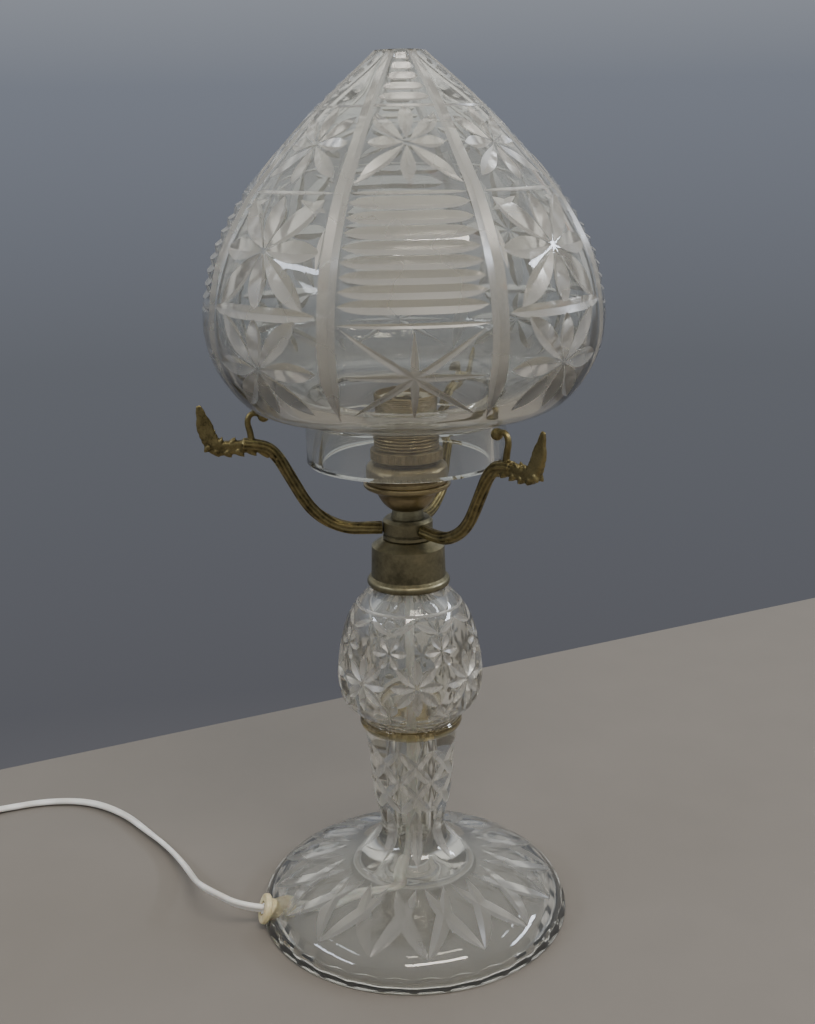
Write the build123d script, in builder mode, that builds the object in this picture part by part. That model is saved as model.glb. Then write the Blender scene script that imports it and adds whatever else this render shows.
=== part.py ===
from build123d import *
import math
import os

# Cut-crystal electric table lamp with a lift-off acorn shade on three cast arms.
# Millimetres, +Z up, origin at the centre of the foot's rim on the table.
# -Y is the front; the flex leaves through a bushing on the left of the foot.

os.makedirs("parts", exist_ok=True)

# ---------------------------------------------------------------- clearances
FIT_GAP = 0.05  # between turned pieces that slide into each other
REST_GAP = 0.3  # between the shade and the scrolls it rests on
THREAD_GAP = 0.08  # between the threaded tube and the pieces it passes through

# ---------------------------------------------------------------- glass foot and stem
FOOT_R = 72.0  # rim on the table
FOOT_WALL = 8.0  # width of the ground rim
SHOULDER_INSET = 4.0
SHOULDER_R = FOOT_R - SHOULDER_INSET  # where the flank turns into the dome
SHOULDER_Z = 11.0
DOME_R = 45.0
DOME_Z = 22.8
STEM_FOOT_R = 14.8  # narrowest part of the stem, just above the dome
STEM_FOOT_Z = 44.0
TAPER_TOP_R = 21.4
WAIST_Z = 94.0
BALL_R = 32.8
BALL_Z = 118.0
BALL_TOP_R = 18.5
NECK_R = 13.6  # plain neck inside the brass cap
NECK_Z = 161.0
NECK_H = 14.0
BORE_R = 7.0  # stem bore for the flex
BORE_Z = 28.0
BALL_WALL = 13.5
MOUTH_R = 9.0  # opening at the top of the hollow ball

# ---------------------------------------------------------------- brass cap and threaded tube
CAP_WALL = 1.0
CAP_R = 16.5
CAP_BEAD_R = 18.4
CAP_BEAD_H = 3.6
CAP_Z = 161.8
CAP_TOP_Z = 183.0
CAP_BEVEL_H = 3.2
CAP_BEVEL_R = 11.6
TUBE_R = 4.92
TUBE_BORE_R = 3.6
NUT_FLATS = 14.0
NUT_H = 3.0

# ---------------------------------------------------------------- hub and arms
HUB_R = 11.0
HUB_H = 9.6
BOSS_R = 6.8
BOSS_H = 4.2
ARM_R = 2.6
ARM_COUNT = 3
ARM_FIRST_ANGLE = 186.0  # the left arm; the others follow at equal steps
ARM_NAMES = ["shade_arm_left", "shade_arm_right", "shade_arm_back"]
TENON_R = 1.9
TENON_DEPTH = 4.0
LEAF_TIP_R = 88.2
LEAF_THICK = 5.0
SCROLL_R = 60.8  # where the scroll's knob carries the shade
KNOB_R = 2.6
TENDRIL_R = 1.2

# ---------------------------------------------------------------- lampholder (small screw cap)
HOLDER_THREAD_R = 14.2
HOLDER_BULGE_R = 17.8
HOLDER_RING_WALL = 1.5
HOLDER_RING_R = HOLDER_THREAD_R + HOLDER_RING_WALL
HOLDER_FLANGE_R = 19.0
HOLDER_WALL = 0.8
DOME_H = 9.6
FLANGE_H = 2.4
BULGE_H = 9.6
SLEEVE_H = 22.5
SOCKET_R = 6.95  # inside of the screw shell
SHELL_WALL = 0.4
INSULATOR_GAP = 0.8  # between the insulator and the sleeve
INSULATOR_R = HOLDER_THREAD_R - HOLDER_WALL - INSULATOR_GAP
INSULATOR_SEAT = 1.2  # width of the ledge the insulator stands on
FLANGE_BORE_R = INSULATOR_R - INSULATOR_SEAT
DOME_WAIST_R = 13.0  # the bowl where its lip turns out
DOME_LIP_R = 15.2
RING_FLUTES = 36
RING_FLUTE_R = 0.6
TERMINAL_X = INSULATOR_R - 4.0
TERMINAL_HEAD_R = 2.4
TERMINAL_HEAD_H = 1.6
TERMINAL_SHANK_R = 1.5
TERMINAL_SLOT_W = 0.7
SHELL_THREADS = 5
SHELL_PITCH = 2.82
CONTACT_W = 3.2

# ---------------------------------------------------------------- shade
SHADE_R = 83.8
SHADE_MAX_Z = 284.0
SHADE_TOP_Z = 386.0
SHADE_TOP_R = 10.4
SHADE_HOLE_R = 6.0
SHADE_WALL = 5.5
COLLAR_R = 43.2
COLLAR_WALL = 6.6
COLLAR_H = 20.0
SHOULDER_LOW_R = 62.0

# ---------------------------------------------------------------- flex, switch and plug
FLEX_D = 5.4  # width of the flat twin flex
BUSH_ANGLE = 195.0
BUSH_TILT = 18.0
BUSH_FLANGE_R = 7.0
BUSH_FLANGE_H = 3.0
BUSH_SLEEVE_R = 5.0
BUSH_BORE_R = 3.5
BUSH_SLEEVE_L = 13.0
BUSH_INSET = 1.8
BUSH_R = FOOT_R - BUSH_INSET  # where the bushing's seat crosses the flank
BUSH_Z = 9.0
COIL_X = -300.0
COIL_Y = -20.0
COIL_IN_R = 24.8
COIL_OUT_R = 37.2
COIL_H = 12.4
SWITCH_L = 58.0
SWITCH_W = 22.0
SWITCH_H = 15.0
SWITCH_SIDE_WALL = 2.0
SWITCH_END_WALL = 3.0
SWITCH_FLOOR = 2.0
SCREW_X = 20.5  # the two screws, from the switch's middle
POST_R = 3.0  # posts round the screws
SCREW_HOLE_R = 1.6
SCREW_HEAD_R = 1.5
SCREW_CORE_R = 1.15
ROCKER_L = 15.0
ROCKER_W = 8.0
ROCKER_GAP = 0.35
ROCKER_TIP = 7.0
ROCKER_PIN_R = 1.0
CHEEK_L = 5.0
CHEEK_T = 2.4
PLUG_L = 36.0
PLUG_W = 26.0
PLUG_H = 13.6
PIN_R = 2.0
PIN_L = 19.0
PIN_PITCH = 18.6


def save(part, name):
    """Labels a finished piece and writes it."""
    part.label = name
    export_step(part, "parts/" + name + ".step")


# ================================================================ glass foot and stem
with BuildPart() as glass_base:
    with BuildSketch(Plane.XZ):
        with BuildLine():
            rim_in = FOOT_R - FOOT_WALL
            rim = Line((rim_in, 0), (FOOT_R - 1.2, 0))
            chamfer_line = Line(rim @ 1, (FOOT_R, 1.2))
            dome = Spline(
                chamfer_line @ 1,
                (FOOT_R - 0.9, 6),
                (SHOULDER_R, SHOULDER_Z),
                (SHOULDER_R - 8, SHOULDER_Z + 5.8),
                (DOME_R, DOME_Z),
                (DOME_R - 15, DOME_Z + 5.0),
                (STEM_FOOT_R + 5.4, STEM_FOOT_Z - 9.6),
                (STEM_FOOT_R, STEM_FOOT_Z),
                tangents=((0, 1), (0, 1)),
            )
            taper = Spline(
                dome @ 1,
                (STEM_FOOT_R + 2.9, STEM_FOOT_Z + 15.6),
                (TAPER_TOP_R - 1.5, WAIST_Z - 11.2),
                (TAPER_TOP_R, WAIST_Z),
                tangents=((0, 1), (0.1, 1)),
            )
            step_out = Line(taper @ 1, (TAPER_TOP_R + 1.8, WAIST_Z + 1.2))
            band = Line(step_out @ 1, (TAPER_TOP_R + 2.0, WAIST_Z + 4.6))
            notch = Line(band @ 1, (TAPER_TOP_R + 0.9, WAIST_Z + 5.8))
            ball = Spline(
                notch @ 1,
                (BALL_R - 2.3, BALL_Z - 9.5),
                (BALL_R, BALL_Z),
                (BALL_R - 1.3, BALL_Z + 14),
                (BALL_R - 4.4, BALL_Z + 27),
                (BALL_TOP_R, NECK_Z - 2),
                tangents=((0.8, 1), (-1, 0.9)),
            )
            shelf = Line(ball @ 1, (NECK_R, NECK_Z))
            neck = Line(shelf @ 1, (NECK_R, NECK_Z + NECK_H))
            mouth = Line(neck @ 1, (MOUTH_R, NECK_Z + NECK_H))
            throat = Line(mouth @ 1, (MOUTH_R, NECK_Z - 3))
            hollow = Spline(
                throat @ 1,
                (BALL_R - BALL_WALL - 3.0, BALL_Z + 30),
                (BALL_R - BALL_WALL, BALL_Z + 8),
                (BALL_R - BALL_WALL - 4.5, BALL_Z - 12),
                (BORE_R + 0.6, WAIST_Z + 2),
                tangents=((0.4, -1), (-0.3, -1)),
            )
            bore = Line(hollow @ 1, (BORE_R, BORE_Z))
            inside = Spline(
                bore @ 1,
                (BORE_R + 4.5, BORE_Z - 4.0),
                (DOME_R - 15, DOME_Z - 2.2),
                (DOME_R, DOME_Z - 6.4),
                (SHOULDER_R - 11, SHOULDER_Z + 0.4),
                (rim_in - 1.6, 6.0),
                (rim_in, 0),
                tangents=((0, -1), (0.15, -1)),
            )
        make_face()
    revolve(axis=Axis.Z)
    # Spot face and hole for the cord bushing, square to the flank.
    bush_out = Vector(
        math.cos(math.radians(BUSH_ANGLE)) * math.cos(math.radians(BUSH_TILT)),
        math.sin(math.radians(BUSH_ANGLE)) * math.cos(math.radians(BUSH_TILT)),
        math.sin(math.radians(BUSH_TILT)),
    )
    bush_seat = Vector(
        BUSH_R * math.cos(math.radians(BUSH_ANGLE)),
        BUSH_R * math.sin(math.radians(BUSH_ANGLE)),
        BUSH_Z,
    )
    seat_plane = Plane(origin=bush_seat, z_dir=bush_out)
    with BuildSketch(seat_plane):
        Circle(BUSH_FLANGE_R + 0.3)
    extrude(amount=12, mode=Mode.SUBTRACT)
    with BuildSketch(seat_plane.offset(1)):
        Circle(BUSH_SLEEVE_R + FIT_GAP)
    extrude(amount=-(BUSH_SLEEVE_L + 8), mode=Mode.SUBTRACT)
save(glass_base.part, "glass_base")

# ================================================================ cord bushing
with BuildPart() as bushing:
    with BuildSketch(seat_plane):
        Circle(BUSH_FLANGE_R)
    extrude(amount=BUSH_FLANGE_H)
    fillet(bushing.edges().filter_by(GeomType.CIRCLE), 1.1)
    with BuildSketch(seat_plane):
        Circle(BUSH_SLEEVE_R)
    extrude(amount=-BUSH_SLEEVE_L)
    with BuildSketch(seat_plane.offset(BUSH_FLANGE_H)):
        Circle(BUSH_BORE_R)
    extrude(amount=-(BUSH_FLANGE_H + BUSH_SLEEVE_L), mode=Mode.SUBTRACT)
save(bushing.part, "cord_bushing")

# ================================================================ brass cap on the neck
with BuildPart() as stem_cap:
    with BuildSketch(Plane.XZ):
        with BuildLine():
            bead_mid = CAP_Z + CAP_BEAD_H / 2
            foot = Line((CAP_R - CAP_WALL, CAP_Z), (CAP_BEAD_R - 1.0, CAP_Z))
            bead = ThreePointArc(foot @ 1, (CAP_BEAD_R, bead_mid), (CAP_BEAD_R - 1.0, CAP_Z + CAP_BEAD_H))
            ledge = Line(bead @ 1, (CAP_R, CAP_Z + CAP_BEAD_H + 0.8))
            wall = Line(ledge @ 1, (CAP_R - 0.4, CAP_TOP_Z - CAP_BEVEL_H))
            bevel = Line(wall @ 1, (CAP_BEVEL_R, CAP_TOP_Z))
            top = Line(bevel @ 1, (TUBE_R + THREAD_GAP, CAP_TOP_Z))
            hole = Line(top @ 1, (TUBE_R + THREAD_GAP, CAP_TOP_Z - CAP_WALL))
            under = Line(hole @ 1, (CAP_BEVEL_R - 0.4, CAP_TOP_Z - CAP_WALL))
            slope = Line(under @ 1, (CAP_R - 0.4 - CAP_WALL, CAP_TOP_Z - CAP_BEVEL_H - 0.6))
            Line(slope @ 1, foot @ 0)
        make_face()
    revolve(axis=Axis.Z)
save(stem_cap.part, "stem_cap")

# Plaster that holds the cap on the glass neck.
cement_in = NECK_R + FIT_GAP
cement_out = CAP_R - CAP_WALL - 0.5
with BuildPart() as cement:
    with BuildSketch(Plane.XY.offset(NECK_Z + 0.3)):
        Circle(cement_out)
        Circle(cement_in, mode=Mode.SUBTRACT)
    extrude(amount=NECK_H - 1.0)
save(cement.part, "cap_plaster")

# ================================================================ threaded tube and its nut
tube_low = CAP_TOP_Z - CAP_WALL - NUT_H - 4.0
holder_z = CAP_TOP_Z + HUB_H + BOSS_H
tube_top = holder_z + 5.0
with BuildPart() as tube:
    with BuildSketch(Plane.XY.offset(tube_low)):
        Circle(TUBE_R)
        Circle(TUBE_BORE_R, mode=Mode.SUBTRACT)
    extrude(amount=tube_top - tube_low)
    chamfer(tube.edges().filter_by(GeomType.CIRCLE).group_by(SortBy.RADIUS)[-1], 0.5)
save(tube.part, "threaded_tube")

with BuildPart() as tube_nut:
    with BuildSketch(Plane.XY.offset(CAP_TOP_Z - CAP_WALL - NUT_H)):
        RegularPolygon(NUT_FLATS / 2, 6, major_radius=False)
        Circle(TUBE_R + THREAD_GAP, mode=Mode.SUBTRACT)
    extrude(amount=NUT_H)
save(tube_nut.part, "tube_nut")

# ================================================================ hub that carries the arms
arm_z = CAP_TOP_Z + 5.2
arm_angles = [ARM_FIRST_ANGLE + i * 360.0 / ARM_COUNT for i in range(ARM_COUNT)]
with BuildPart() as hub:
    with BuildSketch(Plane.XZ):
        with BuildLine():
            hub_top = CAP_TOP_Z + HUB_H
            Polyline(
                (TUBE_R + THREAD_GAP, CAP_TOP_Z),
                (HUB_R - 0.6, CAP_TOP_Z),
                (HUB_R, CAP_TOP_Z + 0.6),
                (HUB_R, CAP_TOP_Z + 2.0),
                (HUB_R - 0.4, CAP_TOP_Z + 2.3),
                (HUB_R - 0.4, CAP_TOP_Z + 2.9),
                (HUB_R, CAP_TOP_Z + 3.2),
                (HUB_R, hub_top - 1.4),
                (HUB_R - 1.4, hub_top),
                (BOSS_R + 0.6, hub_top),
                (BOSS_R - 0.4, hub_top + BOSS_H),
                (TUBE_R + THREAD_GAP, hub_top + BOSS_H),
                close=True,
            )
        make_face()
    revolve(axis=Axis.Z)
    for angle in arm_angles:
        outward = Vector(math.cos(math.radians(angle)), math.sin(math.radians(angle)), 0)
        socket_plane = Plane(origin=outward * (HUB_R + 1) + Vector(0, 0, arm_z), z_dir=outward)
        with BuildSketch(socket_plane):
            Circle(TENON_R + FIT_GAP)
        extrude(amount=-(TENON_DEPTH + 1), mode=Mode.SUBTRACT)
save(hub.part, "arm_hub")

# ================================================================ three cast arms
# The arm is drawn in its own plane: X outward from the lamp's axis, Z up.
shoulder_rise = 4.7 / (SHOULDER_LOW_R - COLLAR_R)
collar_bottom = CAP_TOP_Z + 35.5
collar_top = collar_bottom + COLLAR_H
rest_z = collar_top + (SCROLL_R - COLLAR_R) * shoulder_rise
knob_z = rest_z - REST_GAP - KNOB_R * math.sqrt(1 + shoulder_rise**2)


def arm_plane(angle):
    """Vertical plane through the axis whose X points outward at this angle."""
    outward = Vector(math.cos(math.radians(angle)), math.sin(math.radians(angle)), 0)
    sideways = Vector(-outward.Y, outward.X, 0)
    return Plane(origin=(0, 0, 0), x_dir=outward, z_dir=-sideways)


for angle, name in zip(arm_angles, ARM_NAMES):
    plane = arm_plane(angle)
    with BuildPart() as arm:
        with BuildLine(plane) as arm_path:
            FilletPolyline(
                (HUB_R + 0.15, arm_z),
                (27.0, arm_z + 0.2),
                (43.0, arm_z + 11.0),
                (56.5, arm_z + 36.0),
                (68.0, arm_z + 39.6),
                radius=[26, 30, 13],
            )
        start = arm_path.wire() @ 0
        with BuildSketch(Plane(origin=start, z_dir=arm_path.wire() % 0)):
            Circle(ARM_R)
        sweep(path=arm_path.wire())
        # Leaf with its upturned tip, as a flat casting.
        with BuildSketch(plane):
            with BuildLine():
                leaf_z = arm_z + 37.2
                Polyline(
                    (61.0, leaf_z + 4.4),
                    (60.5, leaf_z - 1.6),
                    (66.0, leaf_z - 1.6),
                    (74.0, leaf_z - 2.2),
                    (78.8, leaf_z - 3.0),
                    (83.0, leaf_z - 0.6),
                    (LEAF_TIP_R - 2.6, leaf_z - 0.8),
                    (LEAF_TIP_R - 3.0, leaf_z + 5.0),
                    (LEAF_TIP_R - 0.4, leaf_z + 13.0),
                    (LEAF_TIP_R, leaf_z + 18.6),
                    (LEAF_TIP_R - 2.4, leaf_z + 18.0),
                    (LEAF_TIP_R - 7.0, leaf_z + 9.6),
                    (LEAF_TIP_R - 8.6, leaf_z + 5.4),
                    (75.0, leaf_z + 5.0),
                    close=True,
                )
            make_face()
        extrude(amount=LEAF_THICK / 2, both=True)
        # Tendril that curls inward to the knob under the shade.
        with BuildLine(plane) as tendril_path:
            FilletPolyline(
                (65.8, leaf_z + 2.0),
                (66.8, leaf_z + 9.5),
                (64.0, knob_z + 1.0),
                (SCROLL_R, knob_z + 0.9),
                radius=[5, 3],
            )
        tendril_start = tendril_path.wire() @ 0
        with BuildSketch(Plane(origin=tendril_start, z_dir=tendril_path.wire() % 0)):
            Circle(TENDRIL_R)
        sweep(path=tendril_path.wire())
        with Locations(plane.from_local_coords((SCROLL_R, knob_z, 0))):
            Sphere(KNOB_R)
        # Tenon in the hub.
        outward = plane.x_dir
        with BuildSketch(Plane(origin=outward * (HUB_R + 0.6) + Vector(0, 0, arm_z), z_dir=outward)):
            Circle(TENON_R)
        extrude(amount=-(TENON_DEPTH + 0.4))
    save(arm.part, name)

# ================================================================ lampholder
flange_z = holder_z + DOME_H
bulge_z = flange_z + FLANGE_H
sleeve_z = bulge_z + BULGE_H
sleeve_top = sleeve_z + SLEEVE_H
with BuildPart() as holder_dome:
    with BuildSketch(Plane.XZ):
        with BuildLine():
            bottom = Line((TUBE_R + THREAD_GAP, holder_z), (BOSS_R + 0.8, holder_z))
            bowl = ThreePointArc(bottom @ 1, (11.2, holder_z + 3.4), (DOME_WAIST_R, holder_z + 6.8))
            lip = Line(bowl @ 1, (DOME_LIP_R, flange_z))
            rim_top = Line(lip @ 1, (DOME_LIP_R - HOLDER_WALL - 0.4, flange_z))
            inner_lip = Line(rim_top @ 1, (DOME_WAIST_R - HOLDER_WALL, holder_z + 7.0))
            inner_bowl = ThreePointArc(inner_lip @ 1, (10.4, holder_z + 4.0), (BOSS_R + 0.4, holder_z + 2.2))
            floor = Line(inner_bowl @ 1, (TUBE_R + THREAD_GAP, holder_z + 2.2))
            Line(floor @ 1, bottom @ 0)
        make_face()
    revolve(axis=Axis.Z)
save(holder_dome.part, "holder_dome")

# Wide dished ring between the bowl and the body.
with BuildPart() as flange_ring:
    with BuildSketch(Plane.XZ):
        with BuildLine():
            Polyline(
                (DOME_LIP_R + 0.1, flange_z),
                (DOME_LIP_R + 0.1, flange_z - 1.2),
                (HOLDER_FLANGE_R - 0.5, flange_z + 0.4),
                (HOLDER_FLANGE_R, flange_z + 1.0),
                (HOLDER_FLANGE_R, flange_z + 1.9),
                (HOLDER_FLANGE_R - 0.5, bulge_z),
                (FLANGE_BORE_R, bulge_z),
                (FLANGE_BORE_R, flange_z),
                close=True,
            )
        make_face()
    revolve(axis=Axis.Z)
save(flange_ring.part, "holder_flange_ring")

# Outer body: bulge below, threaded sleeve above.
with BuildPart() as holder_body:
    with BuildSketch(Plane.XZ):
        with BuildLine():
            Polyline(
                (HOLDER_BULGE_R - HOLDER_WALL, bulge_z),
                (HOLDER_BULGE_R - 0.3, bulge_z),
                (HOLDER_BULGE_R, bulge_z + 0.6),
                (HOLDER_BULGE_R, sleeve_z - 2.4),
                (HOLDER_BULGE_R - 1.2, sleeve_z - 0.4),
                (HOLDER_THREAD_R, sleeve_z),
                (HOLDER_THREAD_R, sleeve_top - 0.4),
                (HOLDER_THREAD_R - 0.4, sleeve_top),
                (HOLDER_THREAD_R - HOLDER_WALL, sleeve_top),
                (HOLDER_THREAD_R - HOLDER_WALL, sleeve_z - 0.8),
                (HOLDER_BULGE_R - HOLDER_WALL, sleeve_z - 2.8),
                close=True,
            )
        make_face()
    revolve(axis=Axis.Z)
save(holder_body.part, "holder_body")

# Ring that screws down the sleeve.
ring_z = sleeve_z + 1.4
with BuildPart() as screw_ring:
    with BuildSketch(Plane.XZ):
        with BuildLine():
            Polyline(
                (HOLDER_THREAD_R + THREAD_GAP, ring_z),
                (HOLDER_RING_R - 0.4, ring_z),
                (HOLDER_RING_R, ring_z + 0.4),
                (HOLDER_RING_R, ring_z + 4.0),
                (HOLDER_RING_R - 0.4, ring_z + 4.4),
                (HOLDER_THREAD_R + THREAD_GAP, ring_z + 4.4),
                close=True,
            )
        make_face()
    revolve(axis=Axis.Z)
    groove_r = HOLDER_RING_R + 0.35
    with PolarLocations(groove_r, RING_FLUTES):
        with Locations((0, 0, ring_z - 0.5)):
            Cylinder(RING_FLUTE_R, 5.4, align=(Align.CENTER, Align.CENTER, Align.MIN), mode=Mode.SUBTRACT)
save(screw_ring.part, "holder_screw_ring")

# Porcelain insulator that holds the contacts.
insulator_z = bulge_z
with BuildPart() as insulator:
    with BuildSketch(Plane.XY.offset(insulator_z)):
        Circle(INSULATOR_R)
    extrude(amount=sleeve_top - 3.0 - insulator_z)
    with BuildSketch(Plane.XY.offset(insulator_z + 7.0)):
        Circle(SOCKET_R + SHELL_WALL + FIT_GAP)
    extrude(amount=40, mode=Mode.SUBTRACT)
    with BuildSketch(Plane.XY.offset(insulator_z)):
        with Locations((-TERMINAL_X, 0), (TERMINAL_X, 0)):
            Circle(TERMINAL_SHANK_R + FIT_GAP)
    extrude(amount=5.0, mode=Mode.SUBTRACT)
save(insulator.part, "holder_insulator")

with BuildPart() as screw_shell:
    with BuildSketch(Plane.XY.offset(insulator_z + 9.5)):
        Circle(SOCKET_R + SHELL_WALL)
        Circle(SOCKET_R, mode=Mode.SUBTRACT)
    extrude(amount=sleeve_top - 4.0 - insulator_z - 9.5)
    for i in range(SHELL_THREADS):
        crest_z = insulator_z + 12.0 + i * SHELL_PITCH
        with BuildSketch(Plane.XZ):
            with BuildLine():
                Polyline(
                    (SOCKET_R + 0.05, crest_z - 0.7),
                    (SOCKET_R - 0.5, crest_z),
                    (SOCKET_R + 0.05, crest_z + 0.7),
                    close=True,
                )
            make_face()
        revolve(axis=Axis.Z)
save(screw_shell.part, "screw_shell")

# Sprung centre contact: a brass leaf that hinges where it is riveted down.
contact_z = insulator_z + 7.0
contact_hinge_x = 6.0
with BuildPart() as contact:
    with BuildSketch(Plane.XZ):
        with BuildLine():
            Polyline(
                (contact_hinge_x + 0.4, contact_z + 0.05),
                (contact_hinge_x + 0.4, contact_z + 0.45),
                (3.6, contact_z + 0.45),
                (0.8, contact_z + 3.0),
                (-1.8, contact_z + 3.0),
                (-1.8, contact_z + 2.6),
                (0.6, contact_z + 2.6),
                (3.4, contact_z + 0.05),
                close=True,
            )
        make_face()
    extrude(amount=CONTACT_W / 2, both=True)
save(contact.part, "centre_contact")

with BuildPart() as terminals:
    for x in (-TERMINAL_X, TERMINAL_X):
        with BuildSketch(Plane.XY.offset(insulator_z - TERMINAL_HEAD_H)):
            with Locations((x, 0)):
                Circle(TERMINAL_HEAD_R)
        extrude(amount=TERMINAL_HEAD_H - FIT_GAP)
        with BuildSketch(Plane.XY.offset(insulator_z - TERMINAL_HEAD_H)):
            with Locations((x, 0)):
                Circle(TERMINAL_SHANK_R)
        extrude(amount=TERMINAL_HEAD_H + 3.8)
        with BuildSketch(Plane.XY.offset(insulator_z - TERMINAL_HEAD_H)):
            with Locations((x, 0)):
                Rectangle(4.2, TERMINAL_SLOT_W)
        extrude(amount=TERMINAL_SLOT_W, mode=Mode.SUBTRACT)
save(terminals.part, "terminal_screws")

# ================================================================ shade
with BuildPart() as shade:
    with BuildSketch(Plane.XZ):
        with BuildLine():
            shoulder_low_z = collar_top + (SHOULDER_LOW_R - COLLAR_R) * shoulder_rise
            outer = Spline(
                (SHOULDER_LOW_R, shoulder_low_z),
                (SHADE_R - 9.1, SHADE_MAX_Z - 30.4),
                (SHADE_R - 1.7, SHADE_MAX_Z - 16.0),
                (SHADE_R, SHADE_MAX_Z + 0.5),
                (SHADE_R - 1.6, SHADE_MAX_Z + 12.2),
                (SHADE_R - 4.5, SHADE_MAX_Z + 23.0),
                (SHADE_R - 10.6, SHADE_MAX_Z + 35.3),
                (SHADE_R - 18.3, SHADE_MAX_Z + 47.3),
                (SHADE_R - 35.1, SHADE_TOP_Z - 36.1),
                (SHADE_R - 49.4, SHADE_TOP_Z - 21.0),
                (SHADE_R - 60.4, SHADE_TOP_Z - 11.1),
                (SHADE_TOP_R, SHADE_TOP_Z),
                tangents=((1, shoulder_rise), (-1.15, 1)),
            )
            top_rim = Line(outer @ 1, (SHADE_HOLE_R, SHADE_TOP_Z))
            throat = Line(top_rim @ 1, (SHADE_HOLE_R, SHADE_TOP_Z - 3.5))
            inner = Spline(
                throat @ 1,
                (SHADE_R - 49.4 - SHADE_WALL, SHADE_TOP_Z - 22.5),
                (SHADE_R - 17.3 - SHADE_WALL, SHADE_MAX_Z + 43.0),
                (SHADE_R - 4.6 - SHADE_WALL, SHADE_MAX_Z + 20.0),
                (SHADE_R - SHADE_WALL, SHADE_MAX_Z),
                (SHADE_R - 2.4 - SHADE_WALL, SHADE_MAX_Z - 15.0),
                (SHADE_R - 10.4 - SHADE_WALL, SHADE_MAX_Z - 27.5),
                (SHOULDER_LOW_R - 6, shoulder_low_z + 5.2),
                tangents=((0.8, -1), (-1, -shoulder_rise)),
            )
            inner_shoulder = Line(inner @ 1, (COLLAR_R - COLLAR_WALL + 3, collar_top + 4.0))
            collar_in = COLLAR_R - COLLAR_WALL
            turn_in = Line(inner_shoulder @ 1, (collar_in, collar_top + 1.4))
            collar_bore = Line(turn_in @ 1, (collar_in, collar_bottom))
            rim_bottom = Line(collar_bore @ 1, (COLLAR_R - 0.8, collar_bottom))
            rim_edge = Line(rim_bottom @ 1, (COLLAR_R, collar_bottom + 0.8))
            collar_side = Line(rim_edge @ 1, (COLLAR_R, collar_top))
            Line(collar_side @ 1, outer @ 0)
        make_face()
    revolve(axis=Axis.Z)
save(shade.part, "shade")

# ================================================================ flex inside the lamp
exit_point = bush_seat + bush_out * BUSH_FLANGE_H
flat_out = Vector(math.cos(math.radians(BUSH_ANGLE)), math.sin(math.radians(BUSH_ANGLE)), 0)


def in_bush_plane(reach, height):
    """Point at this distance from the axis, in the vertical plane of the bushing."""
    return flat_out * reach + Vector(0, 0, height)


def corner_radii(points, name):
    """Largest easy radius at each corner: 0.45 of the shorter run over the tangent of half the turn."""
    radii = []
    for a, b, c in zip(points, points[1:], points[2:]):
        run_in = b - a
        run_out = c - b
        half_turn = math.radians(run_in.get_angle(run_out)) / 2
        radii.append(0.45 * min(run_in.length, run_out.length) / math.tan(half_turn))
    print(name, "radii", [round(r, 1) for r in radii])
    return radii


def tube_along(points, name):
    """Round tube of the flex's width along straight runs joined by tangent arcs."""
    radii = corner_radii(points, name)
    with BuildPart() as piece:
        with BuildLine() as path:
            FilletPolyline(*points, radius=radii)
        with BuildSketch(Plane(origin=path.wire() @ 0, z_dir=path.wire() % 0)):
            Circle(FLEX_D / 2)
        sweep(path=path.wire())
    length = path.wire().length
    section = math.pi * FLEX_D**2 / 4
    print(name, "length", round(length, 1), "volume ratio", round(piece.part.volume / (section * length), 4))
    return piece.part


inner_points = [
    exit_point,
    exit_point - bush_out * 23,
    in_bush_plane(28.0, 6.6),
    in_bush_plane(6.6, 15.0),
    Vector(0, 0, 36),
    Vector(0, 0, insulator_z - 3.0),
]
save(tube_along(inner_points, "inner_flex"), "inner_flex")

# ================================================================ flex on the table
FLEX_Z = FLEX_D / 2 + 0.05  # centre of a flex that lies on the table
lead_points = [
    exit_point,
    exit_point + bush_out * 11,
    Vector(-91.5, -19.5, 12.9),
    Vector(-100.4, -12.8, 10.1),
    Vector(-104.1, -1.3, 5.5),
    Vector(-108.3, 13.4, 3.0),
    Vector(-115.1, 31.1, FLEX_Z + 0.02),
    Vector(-126.2, 48.9, FLEX_Z),
    Vector(-140.0, 66.0, FLEX_Z + 0.02),
    Vector(-157.0, 86.5, FLEX_Z),
    Vector(-178.8, 101.3, FLEX_Z + 0.02),
    Vector(-202.5, 103.0, FLEX_Z),
    Vector(-226.0, 95.0, FLEX_Z + 0.02),
    Vector(-247.0, 82.0, 4.4),
]
switch_angle = 213.0
switch_dir = Vector(math.cos(math.radians(switch_angle)), math.sin(math.radians(switch_angle)), 0)
switch_z = 7.0  # height of the flex's centre where it enters the switch
switch_in = Vector(-263.0, 71.6, switch_z)
switch_mid = switch_in + switch_dir * (SWITCH_L / 2)
switch_out = switch_in + switch_dir * SWITCH_L
save(tube_along(lead_points + [switch_in], "cord_lead"), "cord_lead")

mid_points = [
    switch_out,
    switch_out + switch_dir * 12 + Vector(0, 0, -2.0),
    Vector(-329.6, 22.0, 3.6),
    Vector(-333.4, 5.0, FLEX_Z),
    Vector(-332.0, -12.0, FLEX_Z),
]
save(tube_along(mid_points, "cord_mid"), "cord_mid")

with BuildPart() as coil:
    with BuildSketch():
        with Locations((COIL_X, COIL_Y)):
            Circle(COIL_OUT_R)
            Circle(COIL_IN_R, mode=Mode.SUBTRACT)
    extrude(amount=COIL_H)
    fillet(coil.edges().filter_by(GeomType.CIRCLE), 2.0)
save(coil.part, "cord_coil")

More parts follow.
